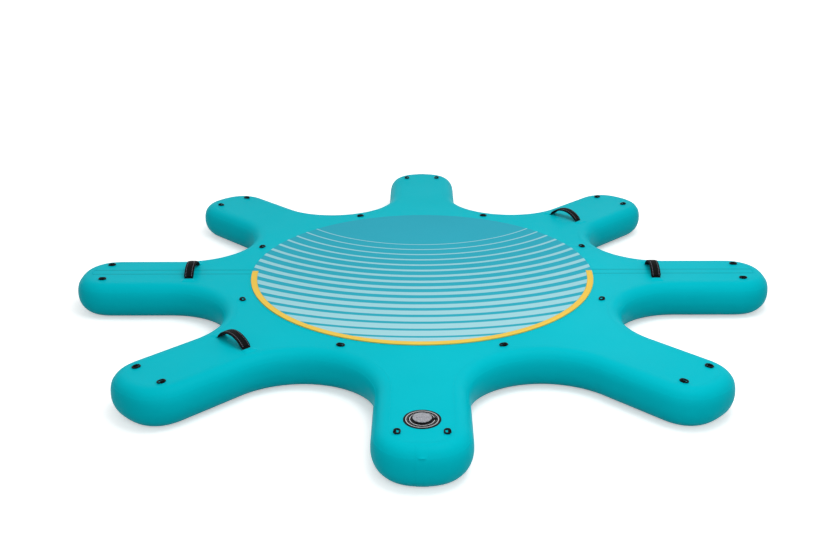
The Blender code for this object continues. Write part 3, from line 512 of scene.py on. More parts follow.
def webbing(name, base, rib, seams=None):
    """Polyester webbing, woven: ribs across and finer yarns along, in a UV map in metres.

    It gives the eye a deep matt black that breaks up into ribs close to. The ribs of about 1.5 mm are drawn
    at the rib given, so that they show. Seams, a distance from the middle line and a stitch's length and
    width, add two rows of stitches.
    """
    made, tree, shader = start_material(name)
    coords = add(tree, "UVMap", uv_map="Pattern").outputs[0]
    wave = {"Vector": coords, "Distortion": 0.6}
    ribs, yarns = [
        add(tree, "TexWave", {**wave, "Scale": waves(spacing)}, bands_direction=axis).outputs[1]
        for spacing, axis in ((rib, "X"), (rib / 2, "Y"))
    ]
    height = add(tree, "Math", {0: ribs, 1: yarns}, operation="ADD")
    # Painted shade and light: the tone follows the ribs' height, darker in the grooves and lighter on the
    # crests
    tone = add(tree, "MapRange", {"Value": height, "From Max": 2.0})
    blend = {0: tone, 6: shade(base, 0.55), 7: shade(base, 1.5)}
    tint = add(tree, "Mix", blend, data_type="RGBA").outputs[2]
    if seams:
        aside, stitch, thread = seams
        parts = add(tree, "SeparateXYZ", {"Vector": coords}).outputs
        across = add(tree, "Math", {0: parts[1]}, operation="ABSOLUTE")
        row = add(tree, "Math", {0: across, 1: aside, 2: thread / 2}, operation="COMPARE")
        count = add(tree, "Math", {0: parts[0], 1: 1 / (1.5 * stitch)}, operation="MULTIPLY")
        phase = add(tree, "Math", {0: count}, operation="FRACT")
        drawn = add(tree, "Math", {0: phase, 1: 2 / 3}, operation="LESS_THAN")
        share = add(tree, "Math", {0: row, 1: drawn}, operation="MULTIPLY")
        tint = add(tree, "Mix", {0: share, 6: tint, 7: shade(base, 60.0)}, data_type="RGBA").outputs[2]
        height = add(tree, "Math", {0: share, 1: height}, operation="ADD")
    feed(tree, shader, {
        "Base Color": tint,
        "Normal": add(tree, "Bump", {"Height": height, "Strength": 0.6, "Distance": 0.0005}),
        "Roughness": 0.72,
        "Specular IOR Level": 0.06,
        "Sheen Weight": 0.02,
        "Sheen Roughness": 0.4,
    })
    return made


def moulded(name, base, roughness, grain=900.0, mottle=0.0, metallic=0.0, gloss=0.09):
    """Moulded or powder-coated surface: it gives the eye a dull satin with a fine spark-eroded grain.

    The grain of about 0.1 mm is drawn at about 1 mm so that it shows. Mottling is cloudy pigment in patches
    of about 5 mm.
    """
    made, tree, shader = start_material(name)
    coords = add(tree, "TexCoord").outputs["Object"]
    texture = add(tree, "TexNoise", {"Vector": coords, "Scale": grain, "Detail": 2.0})
    patches = add(tree, "TexNoise", {"Vector": coords, "Scale": 210.0, "Detail": 4.0})
    spread = add(tree, "MapRange", {"Value": patches, "From Min": 0.3, "From Max": 0.7})
    dark, light = shade(base, 0.94 - mottle), shade(base, 1.06 + mottle)
    feed(tree, shader, {
        "Base Color": add(tree, "Mix", {0: spread, 6: dark, 7: light}, data_type="RGBA").outputs[2],
        "Roughness": add(tree, "MapRange", {
            "Value": patches, "To Min": roughness - 0.06, "To Max": roughness + 0.06}),
        "Normal": add(tree, "Bump", {"Height": texture, "Strength": 0.25, "Distance": 0.0002}),
        "Metallic": metallic,
        "Specular IOR Level": gloss,
    })
    return made


def printed_disc(name, base, pale):
    """Rubber, screen-printed: it gives the eye a dull black disc with crisp pale rings and ticks."""
    made, tree, shader = start_material(name)
    coords = add(tree, "TexCoord").outputs["Object"]
    moved = add(tree, "Mapping", {"Vector": coords, "Location": (-VALVE.x, -VALVE.y, 0.0)})
    parts = add(tree, "SeparateXYZ", {"Vector": moved}).outputs
    flat = add(tree, "CombineXYZ", {"X": parts[0], "Y": parts[1]})
    reach = add(tree, "VectorMath", {0: flat}, operation="LENGTH").outputs["Value"]
    outer_ring, inner_ring, tick_ring = [
        add(tree, "Math", {0: reach, 1: (low + high) / 2, 2: (high - low) / 2}, operation="COMPARE")
        for low, high in ((0.0508, 0.0533), (0.0387, 0.0411), (0.0455, 0.0480))
    ]
    turn = add(tree, "Math", {0: parts[1], 1: parts[0]}, operation="ARCTAN2")
    spokes = add(tree, "Math", {0: turn, 1: 48 / (2 * pi)}, operation="MULTIPLY")
    # The fraction is never negative, so the ticks repeat evenly all round
    phase = add(tree, "Math", {0: spokes}, operation="FRACT")
    tick = add(tree, "Math", {0: phase, 1: 0.10}, operation="LESS_THAN")
    ticks = add(tree, "Math", {0: tick, 1: tick_ring}, operation="MULTIPLY")
    rings = add(tree, "Math", {0: outer_ring, 1: inner_ring}, operation="MAXIMUM")
    mask = add(tree, "Math", {0: rings, 1: ticks}, operation="MAXIMUM")
    grain = add(tree, "TexNoise", {"Vector": coords, "Scale": 600.0, "Detail": 2.0})
    ground = add(tree, "Mix", {0: grain, 6: shade(base, 0.8), 7: shade(base, 1.3)}, data_type="RGBA")
    blend = {0: mask, 6: ground.outputs[2], 7: shade(pale)}
    feed(tree, shader, {
        "Base Color": add(tree, "Mix", blend, data_type="RGBA").outputs[2],
        "Normal": add(tree, "Bump", {"Height": grain, "Strength": 0.2, "Distance": 0.0002}),
        "Roughness": 0.5,
        "Specular IOR Level": 0.07,
    })
    return made


def dress(piece, finish, body, slot, *replaced):
    """Gives a finished piece its material, body and the CAD nodes that it stands for. The slot is not used.
    """
    if not piece.data.polygons:
        raise RuntimeError(f"{piece.name} has no faces")
    piece.data.materials.clear()
    piece.data.materials.append(finish)
    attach(piece, body)
    if replaced:
        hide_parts(*replaced)
    return piece


def paint(node, finish):
    """New material on a CAD node that keeps its shape."""
    for holder in frame["nodes"][node].material_slots:
        holder.material = finish


# Hull.


def blunt_tip(piece, sizes, direction):
    """Pushes the round tip of one arm out into a blunter curve."""
    along = Vector(direction)
    across = UP.cross(along)
    centre = along * (sizes.reach - sizes.tip_depth)
    power = sizes.tip_exponent
    for vertex in piece.data.vertices:
        offset = vertex.co - centre
        ahead, aside = offset.dot(along), offset.dot(across)
        reach = sqrt(ahead * ahead + aside * aside)
        if ahead < 0 or reach < MERGE or reach > 2 * sizes.tip_depth:
            continue
        share = (abs(ahead / reach) ** power + abs(aside / reach) ** power) ** (-1 / power)
        vertex.co += (along * ahead + across * aside) * (sizes.tip_depth * (share - 1) / reach)


def run_round_four_arms(piece, sizes, first_turn):
    """Carries the section at arm 1's tip past one bay, then repeats that run for half of the hull."""
    bay_centre = (sizes.bay_radius + sizes.half_width) / sin(PITCH / 2)
    side = (sizes.reach - sizes.tip_depth - bay_centre * cos(PITCH / 2), 8)
    quarter = (pi / 2, sizes.tip_depth, 26)
    path = Sweep((0, -sizes.reach, 0), (1, 0, 0))
    path.follow(quarter, side, (PITCH - pi, sizes.bay_radius, 44), side, quarter)
    leave()
    blunt_tip(piece, sizes, (0, -1, 0))
    blunt_tip(piece, sizes, (sin(PITCH), -cos(PITCH), 0))
    edit(piece)
    bpy.ops.mesh.select_all(action="SELECT")
    bpy.ops.mesh.spin(steps=3, angle=-3 * PITCH, center=(0, 0, 0), axis=UP, dupli=True)
    close_shell()
    piece.data.transform(Matrix.Rotation(first_turn, 4, "Z"))


def wall_section(sizes, inset, count, lap=0.0):
    """Points of the wall's section at arm 1's tip, from the deck down to the underside.

    With a lap, the middle of the wall stands out by that much, as a second layer of fabric.
    """
    half = DECK / 2
    edge = sizes.lap_edge
    fine = 0.3 * lap / half
    angles = [pi / 2 - pi * i / count for i in range(count + 1)]
    if lap:
        angles = [angle for angle in angles if abs(abs(angle) - edge) > 5 * fine]
        angles += [edge + fine, edge - fine, fine - edge, -fine - edge]
        angles.sort(reverse=True)
    points = []
    for angle in angles:
        deep = inset - (lap if abs(angle) < edge else 0)
        power = sizes.shoulder if angle > 0 else sizes.keel
        share = (abs(cos(angle)) ** power + abs(sin(angle)) ** power) ** (-1 / power)
        y = -(sizes.reach - sizes.edge_depth) - (sizes.edge_depth - deep) * share * cos(angle)
        points.append(Vector((0, y, half + (half - deep) * share * sin(angle))))
    return points


def half_platform(name, sizes, points, side, heights):
    """Half of the platform from its section at a tip, closed at its top, bottom and straight side."""
    piece = section(points, closed=False)
    run_round_four_arms(piece, sizes, 2 * side * PITCH)
    edit(piece)
    for height in heights:
        pick("VERT", lambda v: abs(v.co.z - height) < MERGE and abs(v.co.y) < MERGE)
        bpy.ops.mesh.edge_face_add()
        pick("VERT", lambda v: abs(v.co.z - height) < MERGE)
        bpy.ops.mesh.edge_face_add()
    bpy.ops.mesh.select_mode(type="EDGE")
    bpy.ops.mesh.select_all(action="DESELECT")
    bpy.ops.mesh.select_non_manifold(
        extend=False, use_wire=False, use_multi_face=False, use_non_contiguous=False, use_verts=False
    )
    bpy.ops.mesh.edge_face_add()
    close_shell()
    return new_piece(name)


def cut_pocket(piece, low, high):
    """Opens the hole that the valve's barrel stands in."""
    cut(piece, cylinder(POCKET_RADIUS, low, high, VALVE, 64))


class DOCK_OT_hull(bpy.types.Operator):
    """Builds the two drop-stitch halves, whose undersides show"""

    bl_idname = "dock.hull"
    bl_label = "Hull halves"

    def execute(self, context):
        sizes = context.scene.dock_hull
        colours = context.scene.dock_colours
        finish = coated_fabric("PVC-coated polyester, calendered, underside", colours.hull)
        rim = -(sizes.reach - sizes.edge_depth - sizes.gap)
        tape = sizes.tape_width / 2 + sizes.gap
        end = sizes.reach - sizes.edge_depth - sizes.gap / 2
        pocket_depth = 0.041
        for name, side in (("front", -1), ("rear", 1)):
            points = wall_section(sizes, sizes.sheet + sizes.gap, sizes.wall_rows)
            points[-1].y = rim
            points.append(Vector((0, rim, 0)))
            piece = half_platform("hull_half_" + name, sizes, points, side, (points[0].z, 0))
            cut(piece, block((-end, -tape, -0.01), (end, tape, sizes.tape + sizes.gap)))
            if side < 0:
                cut_pocket(piece, DECK - pocket_depth, DECK + 0.02)
            smooth(piece)
            dress(piece, finish, "platform", "hull", "drop_stitch_panel_" + name)
        return {"FINISHED"}


class DOCK_OT_deck(bpy.types.Operator):
    """Builds the outer deck sheets and the seam tapes between the hull's halves"""

    bl_idname = "dock.deck"
    bl_label = "Deck sheets and tapes"

    def execute(self, context):
        sizes = context.scene.dock_hull
        colours = context.scene.dock_colours
        finish = coated_fabric("PVC-coated polyester, calendered, deck", colours.hull)
        rim = -(sizes.reach - sizes.edge_depth - sizes.gap)
        tape, reach, low = sizes.tape_width / 2, sizes.reach, DECK - sizes.sheet
        below, above = 0.1, 0.2
        for name, side in (("front", -1), ("rear", 1)):
            # Three points, because the circle that a section starts from has no fewer
            points = [Vector((0, rim, z)) for z in (DECK, (DECK + low) / 2, low)]
            piece = half_platform("deck_sheet_" + name, sizes, points, side, (DECK, low))
            inner = sorted((-side * reach, side * (tape + sizes.gap)))
            cut(piece, block((-reach, inner[0], below), (reach, inner[1], above)))
            if side < 0:
                cut_pocket(piece, below, above)
            bevel(piece, 0.0004)
            smooth(piece, flat=True)
            dress(piece, finish, "platform", "deck", "deck_skin_" + name)
        # The tape's darker edge bands are painted shade, in part the heat-pressed fabric's own tone
        weld_shade_width = 0.0065
        welded = coated_fabric(
            "PVC-coated polyester, heat-welded, tape", colours.hull, weld_shade=(tape - weld_shade_width, tape)
        )
        end = reach - sizes.edge_depth - sizes.sheet
        for name, node, low in (
            ("seam_tape_deck", "seam_tape_top", DECK - sizes.tape),
            ("seam_tape_under", "seam_tape_bottom", 0.0),
        ):
            piece = block((-end, -tape, low), (end, tape, low + sizes.tape), name)
            round_corners(piece, 0.012, 5)
            bevel(piece, 0.0003)
            smooth(piece, flat=True)
            dress(piece, welded, "platform", "band", node)
        return {"FINISHED"}


class DOCK_OT_bands(bpy.types.Operator):
    """Wraps the side bands round the hull's edge, and lays the strips over their butt joints"""

    bl_idname = "dock.bands"
    bl_label = "Side bands"

    def execute(self, context):
        sizes = context.scene.dock_hull
        colours = context.scene.dock_colours
        finish = coated_fabric("PVC-coated polyester, calendered, side band", colours.band)
        for name, turn in (("right", 0.0), ("left", pi)):
            piece = section(wall_section(sizes, 0, sizes.wall_rows, sizes.lap), closed=False)
            run_round_four_arms(piece, sizes, turn)
            new_piece("side_wall_" + name)
            thicken(piece, sizes.sheet, -1, even=True)
            smooth(piece, 50)
            dress(piece, finish, "platform", "band", "side_band_" + name)
        self.lay_strips(sizes, finish)
        return {"FINISHED"}

    def lay_strips(self, sizes, finish):
        clearance, thickness, columns = 0.0001, 0.0006, 28
        rows_left_above, rows_left_below = 16, 24
        for name, turn in (("front", 0.0), ("rear", pi)):
            points = wall_section(sizes, -clearance, sizes.strip_rows, sizes.lap)
            piece = section(points[rows_left_above:-rows_left_below], closed=False)
            bpy.ops.transform.translate(value=(-sizes.strip_width / 2, 0, 0))
            Sweep((0, 0, 0), (1, 0, 0)).straight(sizes.strip_width, columns)
            leave()
            self.pucker(piece, sizes)
            self.follow_tip(piece, sizes)
            edit(piece)
            close_shell()
            new_piece("band_strip_" + name)
            thicken(piece, thickness, 1)
            bevel(piece, 0.0003, 2, 60)
            smooth(piece, 50)
            piece.data.transform(Matrix.Rotation(turn, 4, "Z"))
            dress(piece, finish, "platform", "band", "band_joint_strip_" + name)

    def pucker(self, piece, sizes):
        """Small curved fold across the strip at the second layer's upper edge: a soft bulge, steep below."""
        half = DECK / 2
        middle = Vector((0, -(sizes.reach - sizes.edge_depth), half))
        fold_half, fold_out, over_edge = 0.0190, 0.0052, 0.0020
        lip, swell, sag = 0.0009, 0.0060, 0.0022
        low = half + half * sin(sizes.lap_edge) + over_edge
        for vertex in piece.data.vertices:
            share = vertex.co.x / fold_half
            if abs(share) < 1 and vertex.co.z > half:
                above = vertex.co.z - low - sag * share * share
                rise = 0.5 + 0.5 * tanh(above / lip)
                out = Vector((0, vertex.co.y - middle.y, vertex.co.z - middle.z)).normalized()
                vertex.co += out * (1 - share * share) ** 2 * fold_out * rise * exp(-max(above, 0) / swell)

    def follow_tip(self, piece, sizes):
        """Draws the strip back to the tip's curve in plan."""
        power = sizes.tip_exponent
        for vertex in piece.data.vertices:
            share = abs(vertex.co.x) / sizes.half_width
            vertex.co.y += sizes.tip_depth * (1 - (1 - share ** power) ** (1 / power))


# Deck pad.


class DOCK_OT_pad(bpy.types.Operator):
    """Builds the foam deck pad and the border strip let into its front half"""

    bl_idname = "dock.pad"
    bl_label = "Deck pad"

    def execute(self, context):
        sizes = context.scene.dock_pad
        colours = context.scene.dock_colours
        clearance = 0.0004
        low = DECK + SEAT
        high = low + sizes.thickness
        inner = sizes.radius - sizes.border
        pad = cylinder(sizes.radius, low, high, (0, 0), 256, "deck_foam")
        cut(pad, self.half_ring(inner - clearance, sizes.radius + 0.01, low - 0.01, high + 0.01, 0.0))
        border = self.half_ring(inner, sizes.radius, low, high, clearance)
        border.name = border.data.name = "border_foam"
        foam_blue = rippled_foam("EVA foam, brushed, rippled", colours.pad, colours.ripple, sizes)
        foam_yellow = plain_foam("EVA foam, brushed, yellow", colours.border)
        for piece, finish, slot, node in (
            (pad, foam_blue, "pad", "deck_pad"), (border, foam_yellow, "border", "border_strip"),
        ):
            bevel(piece, 0.0012, 3)
            smooth(piece, flat=True)
            dress(piece, finish, "platform", slot, node)
        return {"FINISHED"}

    def half_ring(self, inner, outer, low, high, ends):
        """Half of a flat ring on the front side, drawn back a little at its ends."""
        start = ends / inner
        corners = ((inner, low), (outer, low), (outer, high), (inner, high))
        piece = section([Vector((-r * cos(start), -r * sin(start), z)) for r, z in corners])
        bpy.ops.mesh.spin(steps=160, angle=-(pi - 2 * start), center=(0, 0, 0), axis=UP)
        close_ends()
        return piece


# D-rings.


class DOCK_OT_rings(bpy.types.Operator):
    """Builds the D-rings with their webbing tabs and welded patches"""

    bl_idname = "dock.rings"
    bl_label = "D-rings"

    def execute(self, context):
        sizes = context.scene.dock_fittings
        colours = context.scene.dock_colours
        steel = moulded("Steel, powder-coated", colours.black, 0.36, grain=1500.0)
        black = webbing("Polyester webbing, woven, tabs", colours.black, rib=0.0018)
        pvc = coated_fabric("PVC-coated polyester, heat-welded, patches", colours.hull)
        ring, tab, patch = self.ring(sizes), self.tab(sizes), self.patch(sizes)
        for joint in frame["joints"]:
            name = joint["child"]
            if name.startswith("d_ring"):
                bow = atan2(joint["axis"][0], -joint["axis"][1])
                matrix = Matrix.Translation(Vector(joint["pos_m"])) @ Matrix.Rotation(bow, 4, "Z")
                where = name.replace("d_ring_", "")
                dress(copy_of(ring, "ring_" + where, matrix), steel, name, "ring", name)
                dress(copy_of(tab, "tab_" + where, matrix), black, "platform", "webbing")
                dress(copy_of(patch, "patch_" + where, matrix), pvc, "platform", "deck")
        remove(ring, tab, patch)
        return {"FINISHED"}

    def ring(self, sizes):
        """Wire bent round from the middle of its bar, tight at the bar and wide at the bow, and closed."""
        wire, near, far = sizes.wire / 2, 0.0036, 0.0082
        angles = [2 * pi * i / 12 for i in range(12)]
        piece = section([Vector((wire * cos(a), 0, wire * sin(a))) for a in angles])
        half_bar = (sizes.ring_half - near, 2)
        leg = (sizes.ring_depth - near - far, 2)
        tight, wide = (-pi / 2, near, 6), (-pi / 2, far, 10)
        path = Sweep((0, 0, 0), (0, 1, 0))
        path.follow(half_bar, tight, leg, wide, (2 * (sizes.ring_half - far), 2), wide, leg, tight, half_bar)
        close_shell()
        smooth(piece, 60)
        return piece

    def tab(self, sizes):
        """Webbing welded in under the patch, looped over the ring's bar."""
        thick = sizes.webbing
        hug = sizes.wire / 2 + SEAT + thick / 2
        base = -sizes.wire / 2 - SEAT + thick / 2
        small, tail = 0.0010, 0.0006
        start = -hug - small - tail
        rim = webbing_rim(sizes.tab_width, thick, 0.0003)
        piece = section([Vector((start, y, base + z)) for y, z in rim])
        flat, foot, side = (tail, 1), (pi / 2, small, 4), (-base - small, 1)
        path = Sweep((start, 0, base), (1, 0, 0), (0, -1, 0))
        path.follow(flat, foot, side, (-pi, hug, 12), side, foot, flat)
        close_ends()
        smooth(piece, 45)
        write_uv(piece, lambda p: (p.x + p.z, p.y))
        return piece

    def patch(self, sizes):
        """Welded patch with rounded corners, from behind the tab to past the bow."""
        back, front, half, sunk = -0.0089, 0.0197, 0.015, 0.0002
        top = -sizes.wire / 2 - SEAT
        piece = block((back, -half, top - sizes.patch - sunk), (front, half, top), "patch")
        round_corners(piece, 0.008, 7)
        bevel(piece, 0.0004)
        smooth(piece, flat=True)
        return piece


# Carry handles.


def ease(value):
    """Smooth step from 0 to 1."""
    t = min(1.0, max(0.0, value))
    return t * t * (3 - 2 * t)


class DOCK_OT_handles(bpy.types.Operator):
    """Builds the carry handles: webbing straps, padded grips and welded covers over their feet"""

    bl_idname = "dock.handles"
    bl_label = "Carry handles"

    def execute(self, context):
        sizes = context.scene.dock_fittings
        colours = context.scene.dock_colours
        black = webbing("Polyester webbing, woven, handles", colours.black, rib=0.0030)
        # Stitches of about 1 mm thread, drawn 1.8 mm wide so that they show
        seams = (0.0125, 0.0050, 0.0018)
        sleeve = webbing("Neoprene, stitched, ribbed sleeve", colours.black, rib=0.0050, seams=seams)
        pvc = coated_fabric("PVC-coated polyester, heat-welded, covers", colours.hull)
        strap, grip, cover = self.strap(sizes), self.grip(sizes), self.cover(sizes)
        for arm in HANDLE_ARMS:
            node = f"handle_strap_arm{arm}"
            low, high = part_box(node)
            middle = (low + high) / 2
            middle.z = DECK
            matrix = Matrix.Translation(middle) @ Matrix.Rotation((arm - 1) * PITCH, 4, "Z")
            dress(copy_of(strap, f"strap_arm{arm}", matrix), black, "platform", "webbing", node)
            made = copy_of(grip, f"grip_arm{arm}", matrix)
            dress(made, sleeve, "platform", "grip", f"handle_grip_arm{arm}")
            for turn, word in ((0, "left"), (pi, "right")):
                place = matrix @ Matrix.Rotation(turn, 4, "Z")
                dress(copy_of(cover, f"cover_arm{arm}_{word}", place), pvc, "platform", "deck")
        remove(strap, grip, cover)
        return {"FINISHED"}

    def arch(self, sizes):
        """Radius of the arch and half its angle."""
        half, rise = sizes.handle_half, sizes.handle_height
        radius = (half ** 2 + rise ** 2) / (2 * rise)
        return radius, asin(half / radius)

    def strap(self, sizes):
        """Webbing with two flat feet, folded up into the arch between them."""
        spread = self.arch(sizes)[1]
        fold, foot_length = 0.0035, 0.023
        base = SEAT + sizes.strap / 2
        start = -sizes.handle_half - foot_length
        # The fold's tangent length comes out of the foot, so that the arch keeps its span
        foot = (foot_length - fold * tan(spread / 2), 4)
        rim = webbing_rim(sizes.strap_width, sizes.strap, 0.0007)
        piece = section([Vector((start, y, base + z)) for y, z in rim])
        path = Sweep((start, 0, base), (1, 0, 0), (0, -1, 0))
        path.follow(foot, (spread, fold, 5))
        path.follow((-2 * spread, -path.point.x / sin(spread), 40), (spread, fold, 5), foot)
        close_ends()
        smooth(piece, 45)
        drop, reach = 0.035, 0.08
        write_uv(piece, lambda p: (atan2(p.x, p.z + drop) * reach, p.y))
        return piece

    def grip(self, sizes):
        """Padded sleeve round the middle of the strap, with flattened sides and closed, rounded ends."""
        radius, spread = self.arch(sizes)
        share, overhang, thick, steps = 0.90, 0.0018, 0.0046, 28
        across_power, up_power = 5.0, 2.6
        half_angle = share * spread
        side = sizes.strap_width / 2 + overhang

        def full(value, power):
            return copysign(abs(value) ** (2 / power), value)

        angles = [2 * pi * i / steps for i in range(steps)]
        rim = [(side * full(cos(a), across_power), thick * full(sin(a), up_power)) for a in angles]
        centre_z = SEAT + sizes.strap / 2 + sizes.handle_height - radius
        start = Vector((-radius * sin(half_angle), 0, centre_z + radius * cos(half_angle)))
        tilt = Matrix.Rotation(-half_angle, 3, "Y")
        piece = section([start + tilt @ Vector((0, y, z)) for y, z in rim])
        Sweep(start, tilt @ Vector((1, 0, 0)), (0, -1, 0)).bend(-2 * half_angle, radius, 36)
        close_ends()
        bevel(piece, 0.0022, 4, 60)
        smooth(piece, 60)

        def place(point):
            rise = sqrt(point.x ** 2 + (point.z - centre_z) ** 2) - radius
            round_side = (thick - rise) * (1 if point.y > 0 else -1)
            return atan2(point.x, point.z - centre_z) * radius, point.y + 0.6 * round_side

        write_uv(piece, place)
        return piece

    def cover(self, sizes):
        """Sheet laid over a strap's foot: flat flanges, a raised middle and rounded corners."""
        half_long, half_wide, corner = 0.015, 0.029, 0.010
        slope_long, slope_wide = 0.0075, 0.0065
        rim, sunk, rim_sunk = 0.0008, 0.0002, 0.0008
        near, foot_end, play = 0.0024, 0.0234, 0.0004
        middle = sizes.handle_half + near + half_long
        foot = sizes.handle_half + foot_end
        top = SEAT + sizes.strap + SEAT
        deselect()
        bpy.ops.mesh.primitive_grid_add(x_subdivisions=16, y_subdivisions=40, size=1)
        piece = bpy.context.object
        for vertex in piece.data.vertices:
            x, y = 2 * half_long * vertex.co.x, 2 * half_wide * vertex.co.y
            low = rim_sunk if min(half_long - abs(x), half_wide - abs(y)) < rim else sunk
            over_x, over_y = x - (half_long - corner), abs(y) - (half_wide - corner)
            if over_x > 0 and over_y > 0:
                share = corner / sqrt(over_x ** 2 + over_y ** 2)
                x = half_long - corner + over_x * share
                y = copysign(half_wide - corner + over_y * share, y)
            lift = 1 - ease((abs(y) - sizes.strap_width / 2 - play) / slope_wide)
            lift *= 1 - ease((x + middle - foot) / slope_long)
            vertex.co = Vector((x + middle, y, top * lift - low))
        thicken(piece, sizes.patch, 1)
        smooth(piece, 50)
        return piece


# Valve.


class DOCK_OT_valve(bpy.types.Operator):
    """Builds the inflation valve: printed surround, flanged body, ribbed cap, spring and works"""

    bl_idname = "dock.valve"
    bl_label = "Inflation valve"

    def execute(self, context):
        colours = context.scene.dock_colours
        nylon = moulded("Glass-filled nylon, moulded, black", colours.black, 0.45)
        rubber = moulded("Silicone rubber, moulded, black", colours.black, 0.62)
        grey = moulded("Nylon, moulded, mottled grey", colours.cap, 0.42, mottle=0.34)
        steel = moulded("Stainless steel, drawn wire", srgb("#B9BBC0"), 0.30, metallic=1.0, gloss=0.5)
        printed = printed_disc("Rubber, screen-printed", colours.black, colours.print_grey)
        surround = turned("valve_disc", [
            (POCKET_RADIUS, SEAT), (0.0607, SEAT), (0.0610, 0.0006), (0.0608, 0.0011), (0.0602, 0.0015),
            (POCKET_RADIUS, 0.0015)], 128)
        dress(surround, printed, "platform", "surround", "valve_surround")
        dress(self.body(), nylon, "platform", "valve", "valve_body")
        dress(self.cap(), grey, "cap", "cap", "valve_cap")
        coil = dress(self.spring(), steel, "platform", "spring", "plunger_spring")
        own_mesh(coil)
        for node in ("valve_nut", "valve_plunger", "spring_washer"):
            paint(node, nylon)
        for node in ("poppet_seal", "cap_seal", "tether_ring", "tether_root"):
            paint(node, rubber)
        return {"FINISHED"}

    def body(self):
        """Flange, barrel and seat in one, with the spider's hub and webs and the tether's post."""
        low, top = 0.0018, 0.0036
        body = turned("valve_barrel", [
            (0.0270, low), (0.0376, low), (0.0380, low + 0.0004), (0.0380, top - 0.0006), (0.0374, top),
            (0.0229, top), (0.0225, top - 0.0004), (0.0225, 0.0010), (0.0194, 0.0010), (0.0190, 0.0006),
            (0.0190, -0.0200), (0.0150, -0.0200), (0.0150, -0.0240), (0.0210, -0.0240),
            (0.0210, -0.0380), (0.0270, -0.0380)], 96)
        hub = turned("spider_hub", [
            (0.0033, -0.0240), (0.0062, -0.0240), (0.0062, -0.0200), (0.0033, -0.0200)], 48)
        webs = []
        for i in range(3):
            web = block((0.0048, -0.00175, -0.0230), (0.0170, 0.00175, -0.0210), "spider_web")
            web.data.transform(Matrix.Translation(VALVE) @ Matrix.Rotation(i * 2 * pi / 3, 4, "Z"))
            webs.append(web)
        x, y, ear = VALVE.x + 0.0425, VALVE.y, 0.0048
        low, top = DECK + low, DECK + top
        eye = cylinder(ear, low, top, (x, y), 40, "tether_ear")
        neck = block((x - 0.009, y - ear, low), (x, y + ear, top), "ear_neck")
        post = cylinder(0.0020, low, DECK + 0.0061, (x, y), 32, "tether_post")
        bevel(post, 0.0004)
        join(body, hub, *webs, eye, neck, post)
        smooth(body, 30, flat=True)
        return body

    def cap(self):
        """Cap with a ribbed rim, a dished face and a raised bar to turn it by."""
        low, high = 0.0054, 0.0084
        cap = turned("cap_moulding", [
            (0, 0.0026), (0.0214, 0.0026), (0.0218, 0.0030), (0.0218, 0.0036), (0.0205, 0.0036),
            (0.0205, low), (0.0305, low), (0.0310, low + 0.0005), (0.0310, high - 0.0009),
            (0.0307, high - 0.0004), (0.0300, high), (0.0276, high), (0.0266, high - 0.0003),
            (0.0262, high - 0.0008), (0, high - 0.0008)], 160, closed=False)
        rim, ribs, rib_depth = 0.0300, 20, 0.0007
        for vertex in cap.data.vertices:
            x, y, z = vertex.co - VALVE
            reach = sqrt(x * x + y * y)
            if reach > rim and z < high - 0.0002:
                share = rib_depth * (0.5 - 0.5 * cos(ribs * atan2(y, x))) / reach
                vertex.co -= Vector((x * share, y * share, 0))
        bar = block((-0.0200, -0.0035, DECK + high - 0.0014), (0.0200, 0.0035, DECK + high), "grip_bar")
        round_corners(bar, 0.0034, 8)
        bevel(bar, 0.0005, 3)
        bar.data.transform(Matrix.Translation((VALVE.x, VALVE.y, 0)))
        join(cap, bar)
        smooth(cap, 30, flat=True)
        return cap

    def spring(self):
        """Compression spring wound round the stem, with its first and last turns laid flat."""
        wire, coil, sides, turns, per_turn, flat = 0.0004, 0.0048, 10, 5, 40, 0.75
        low, high = SPRING_FOOT + wire, SPRING_TOP - wire
        angles = [2 * pi * i / sides for i in range(sides)]
        shape = bmesh.new()
        rings = []
        for step in range(turns * per_turn + 1):
            share = min(1.0, max(0.0, (step / per_turn - flat) / (turns - 2 * flat)))
            turn = Matrix.Rotation(2 * pi * step / per_turn, 3, "Z")
            lift = VALVE + Vector((0, 0, low + (high - low) * share))
            points = [turn @ Vector((coil + wire * cos(a), 0, wire * sin(a))) + lift for a in angles]
            rings.append([shape.verts.new(point) for point in points])
        for first, second in zip(rings, rings[1:]):
            for i in range(sides):
                shape.faces.new((first[i - 1], first[i], second[i], second[i - 1]))
        shape.faces.new(rings[0])
        shape.faces.new(rings[-1])
        bmesh.ops.recalc_face_normals(shape, faces=shape.faces)
        mesh = bpy.data.meshes.new("spring_coil")
        shape.to_mesh(mesh)
        shape.free()
        piece = bpy.data.objects.new("spring_coil", mesh)
        bpy.context.scene.collection.objects.link(piece)
        smooth(piece, 60)
        return piece


# Stage.


def seen_directly(tree):
    """1 for rays from the camera, a gloss or a glass, and 0 for the light that falls on the object."""
    rays = add(tree, "LightPath").outputs
    seen = add(tree, "Math", {0: rays["Is Camera Ray"], 1: rays["Is Glossy Ray"]}, operation="MAXIMUM")
    return add(tree, "Math", {0: seen, 1: rays["Is Transmission Ray"]}, operation="MAXIMUM")


